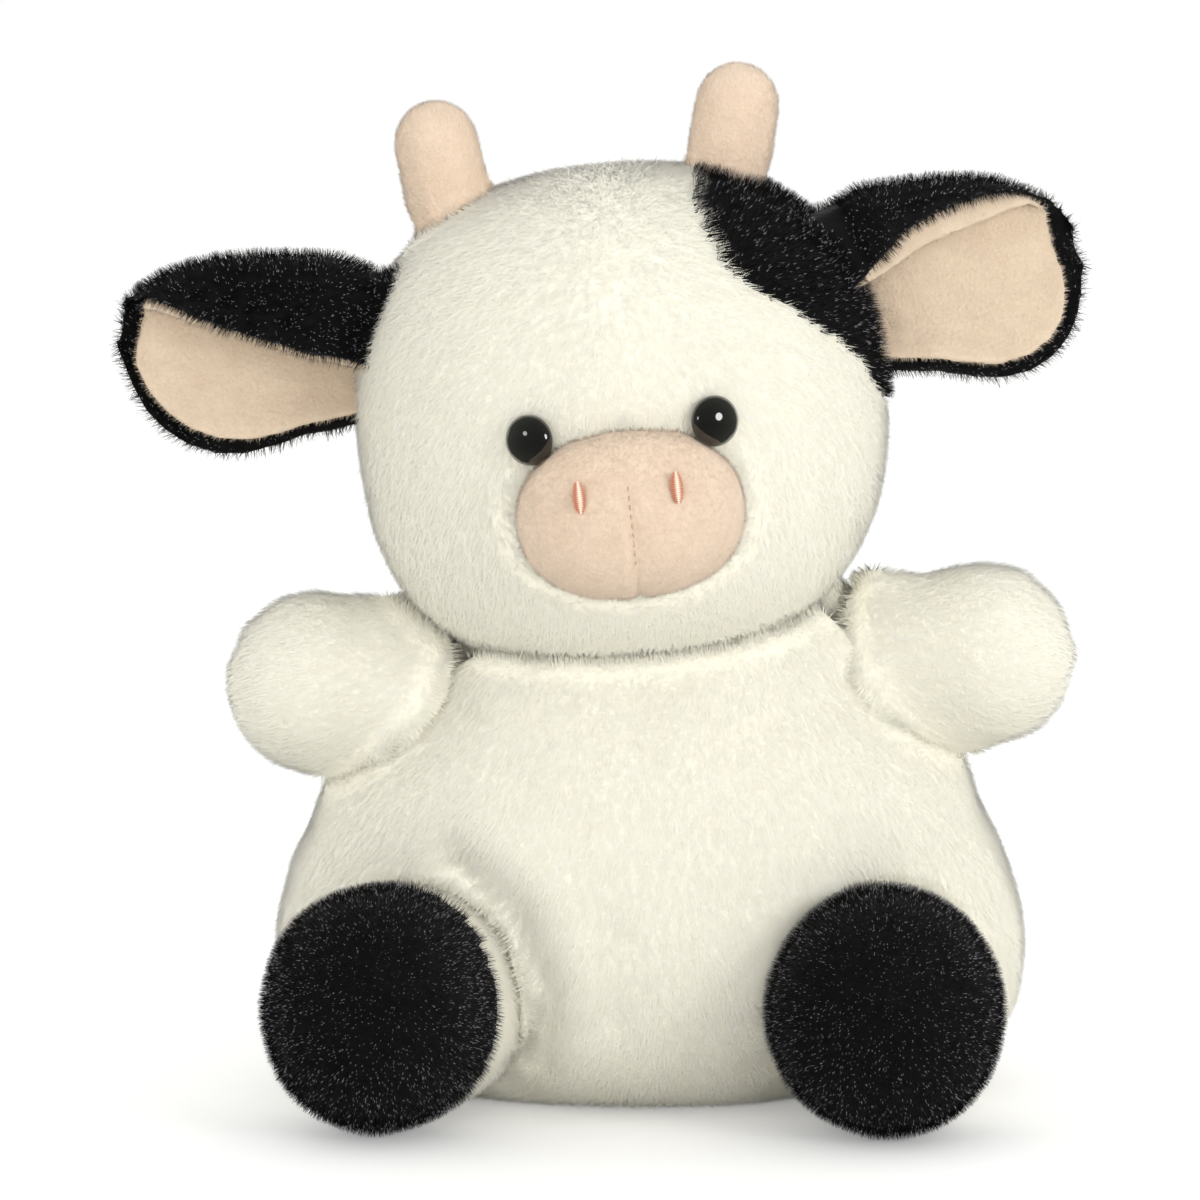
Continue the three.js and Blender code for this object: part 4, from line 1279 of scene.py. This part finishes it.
class COW_OT_stage(PieceOperator, bpy.types.Operator):
    """Floor, soft lamps, room light and the camera at the photograph's angle"""

    bl_idname = "plush_cow.stage"
    bl_label = "Stage"

    def make(self, settings):
        self.floor()
        self.room(settings)
        middle = Vector((BODY_X, 0, 60 * MM))
        self.lamp("key_lamp", (0.66, -0.62, 0.3), middle, 0.3, settings.key_power)
        self.lamp("fill_lamp", (-0.66, -0.62, 0.3), middle, 0.2, settings.fill_power)
        front = self.lamp("front_lamp", (0.0, -0.98, 0.08), middle, 0.9, settings.front_power)
        front.visible_glossy = False
        self.camera()
        bpy.context.scene.view_settings.view_transform = "Standard"

    def floor(self):
        """Paper floor, whose white only the view, and not the toy, gets in full"""
        deselect()
        bpy.ops.mesh.primitive_plane_add(size=6)
        floor = bpy.context.active_object
        floor.name = "floor"
        paper, tree, shader = new_material("white_backdrop_paper", "#f4f4f2", 0.9)
        path = add_node(tree, "ShaderNodeLightPath").outputs
        share = add_node(
            tree, "ShaderNodeMath", {0: path["Is Camera Ray"], 1: 0.25}, operation="MULTIPLY"
        )
        glow, dim = (
            add_node(tree, "ShaderNodeEmission", {"Color": WHITE, "Strength": strength}).outputs[0]
            for strength in (share.outputs[0], 0.12)
        )
        both = add_node(tree, "ShaderNodeAddShader", {0: shader.outputs[0], 1: glow})
        mirrored = add_node(
            tree, "ShaderNodeMixShader", {0: path["Is Glossy Ray"], 1: both.outputs[0], 2: dim}
        )
        tree.links.new(mirrored.outputs[0], tree.nodes["Material Output"].inputs["Surface"])
        floor.data.materials.append(paper)

    def room(self, settings):
        """Light from all round, dimmed in mirrored views and plain white behind the toy"""
        world = bpy.data.worlds.new("studio")
        bpy.context.scene.world = world
        world.use_nodes = True
        tree = world.node_tree
        tree.nodes.clear()
        path = add_node(tree, "ShaderNodeLightPath").outputs
        lit, dim, white = (
            add_node(tree, "ShaderNodeBackground", {"Color": WHITE, "Strength": light}).outputs[0]
            for light in (settings.room_light, 0.15, 1.0)
        )
        mirrored = add_node(tree, "ShaderNodeMixShader", {0: path["Is Glossy Ray"], 1: lit, 2: dim})
        seen = add_node(
            tree,
            "ShaderNodeMixShader",
            {0: path["Is Camera Ray"], 1: mirrored.outputs[0], 2: white},
        )
        add_node(tree, "ShaderNodeOutputWorld", {"Surface": seen.outputs[0]})

    def lamp(self, name, place, target, size, power):
        light = bpy.data.lights.new(name, "AREA")
        light.shape = "DISK"
        light.size = size
        light.energy = power
        lamp = add_object(name, light)
        lamp.location = place
        lamp.rotation_euler = (target - Vector(place)).to_track_quat("-Z", "Y").to_euler()
        return lamp

    def camera(self):
        data = bpy.data.cameras.new("camera")
        data.sensor_width = SENSOR_WIDTH
        data.lens = SENSOR_WIDTH * CAMERA_DISTANCE / FRAME_WIDTH
        data.clip_start, data.clip_end = 0.05, 20
        camera = add_object("camera", data)
        way = Vector((0, -math.cos(CAMERA_TILT), math.sin(CAMERA_TILT)))
        camera.location = FRAME_MIDDLE + way * CAMERA_DISTANCE
        camera.rotation_euler = (math.pi / 2 - CAMERA_TILT, 0, 0)
        bpy.context.scene.camera = camera


STEPS = (
    COW_OT_head,
    COW_OT_muzzle,
    COW_OT_eyes,
    COW_OT_horns,
    COW_OT_ears,
    COW_OT_body,
    COW_OT_arms,
    COW_OT_legs,
    COW_OT_tail,
    COW_OT_filling,
    COW_OT_stage,
)


class COW_PT_panel(bpy.types.Panel):
    """Sidebar panel that lists the settings and the steps"""

    bl_label = "Plush cow"
    bl_idname = "COW_PT_panel"
    bl_space_type = "VIEW_3D"
    bl_region_type = "UI"
    bl_category = "Plush cow"

    def draw(self, context):
        settings = context.scene.plush_cow
        for name in PlushCowSettings.__annotations__:
            self.layout.prop(settings, name)
        for step in STEPS:
            self.layout.operator(step.bl_idname)


CLASSES = (PlushCowSettings, *STEPS, COW_PT_panel)


def register():
    for kind in CLASSES:
        bpy.utils.register_class(kind)
    bpy.types.Scene.plush_cow = bpy.props.PointerProperty(type=PlushCowSettings)


def unregister():
    del bpy.types.Scene.plush_cow
    for kind in reversed(CLASSES):
        bpy.utils.unregister_class(kind)


def main():
    register()
    for step in STEPS:
        group, name = step.bl_idname.split(".")
        getattr(getattr(bpy.ops, group), name)()


if __name__ == "__main__":
    main()
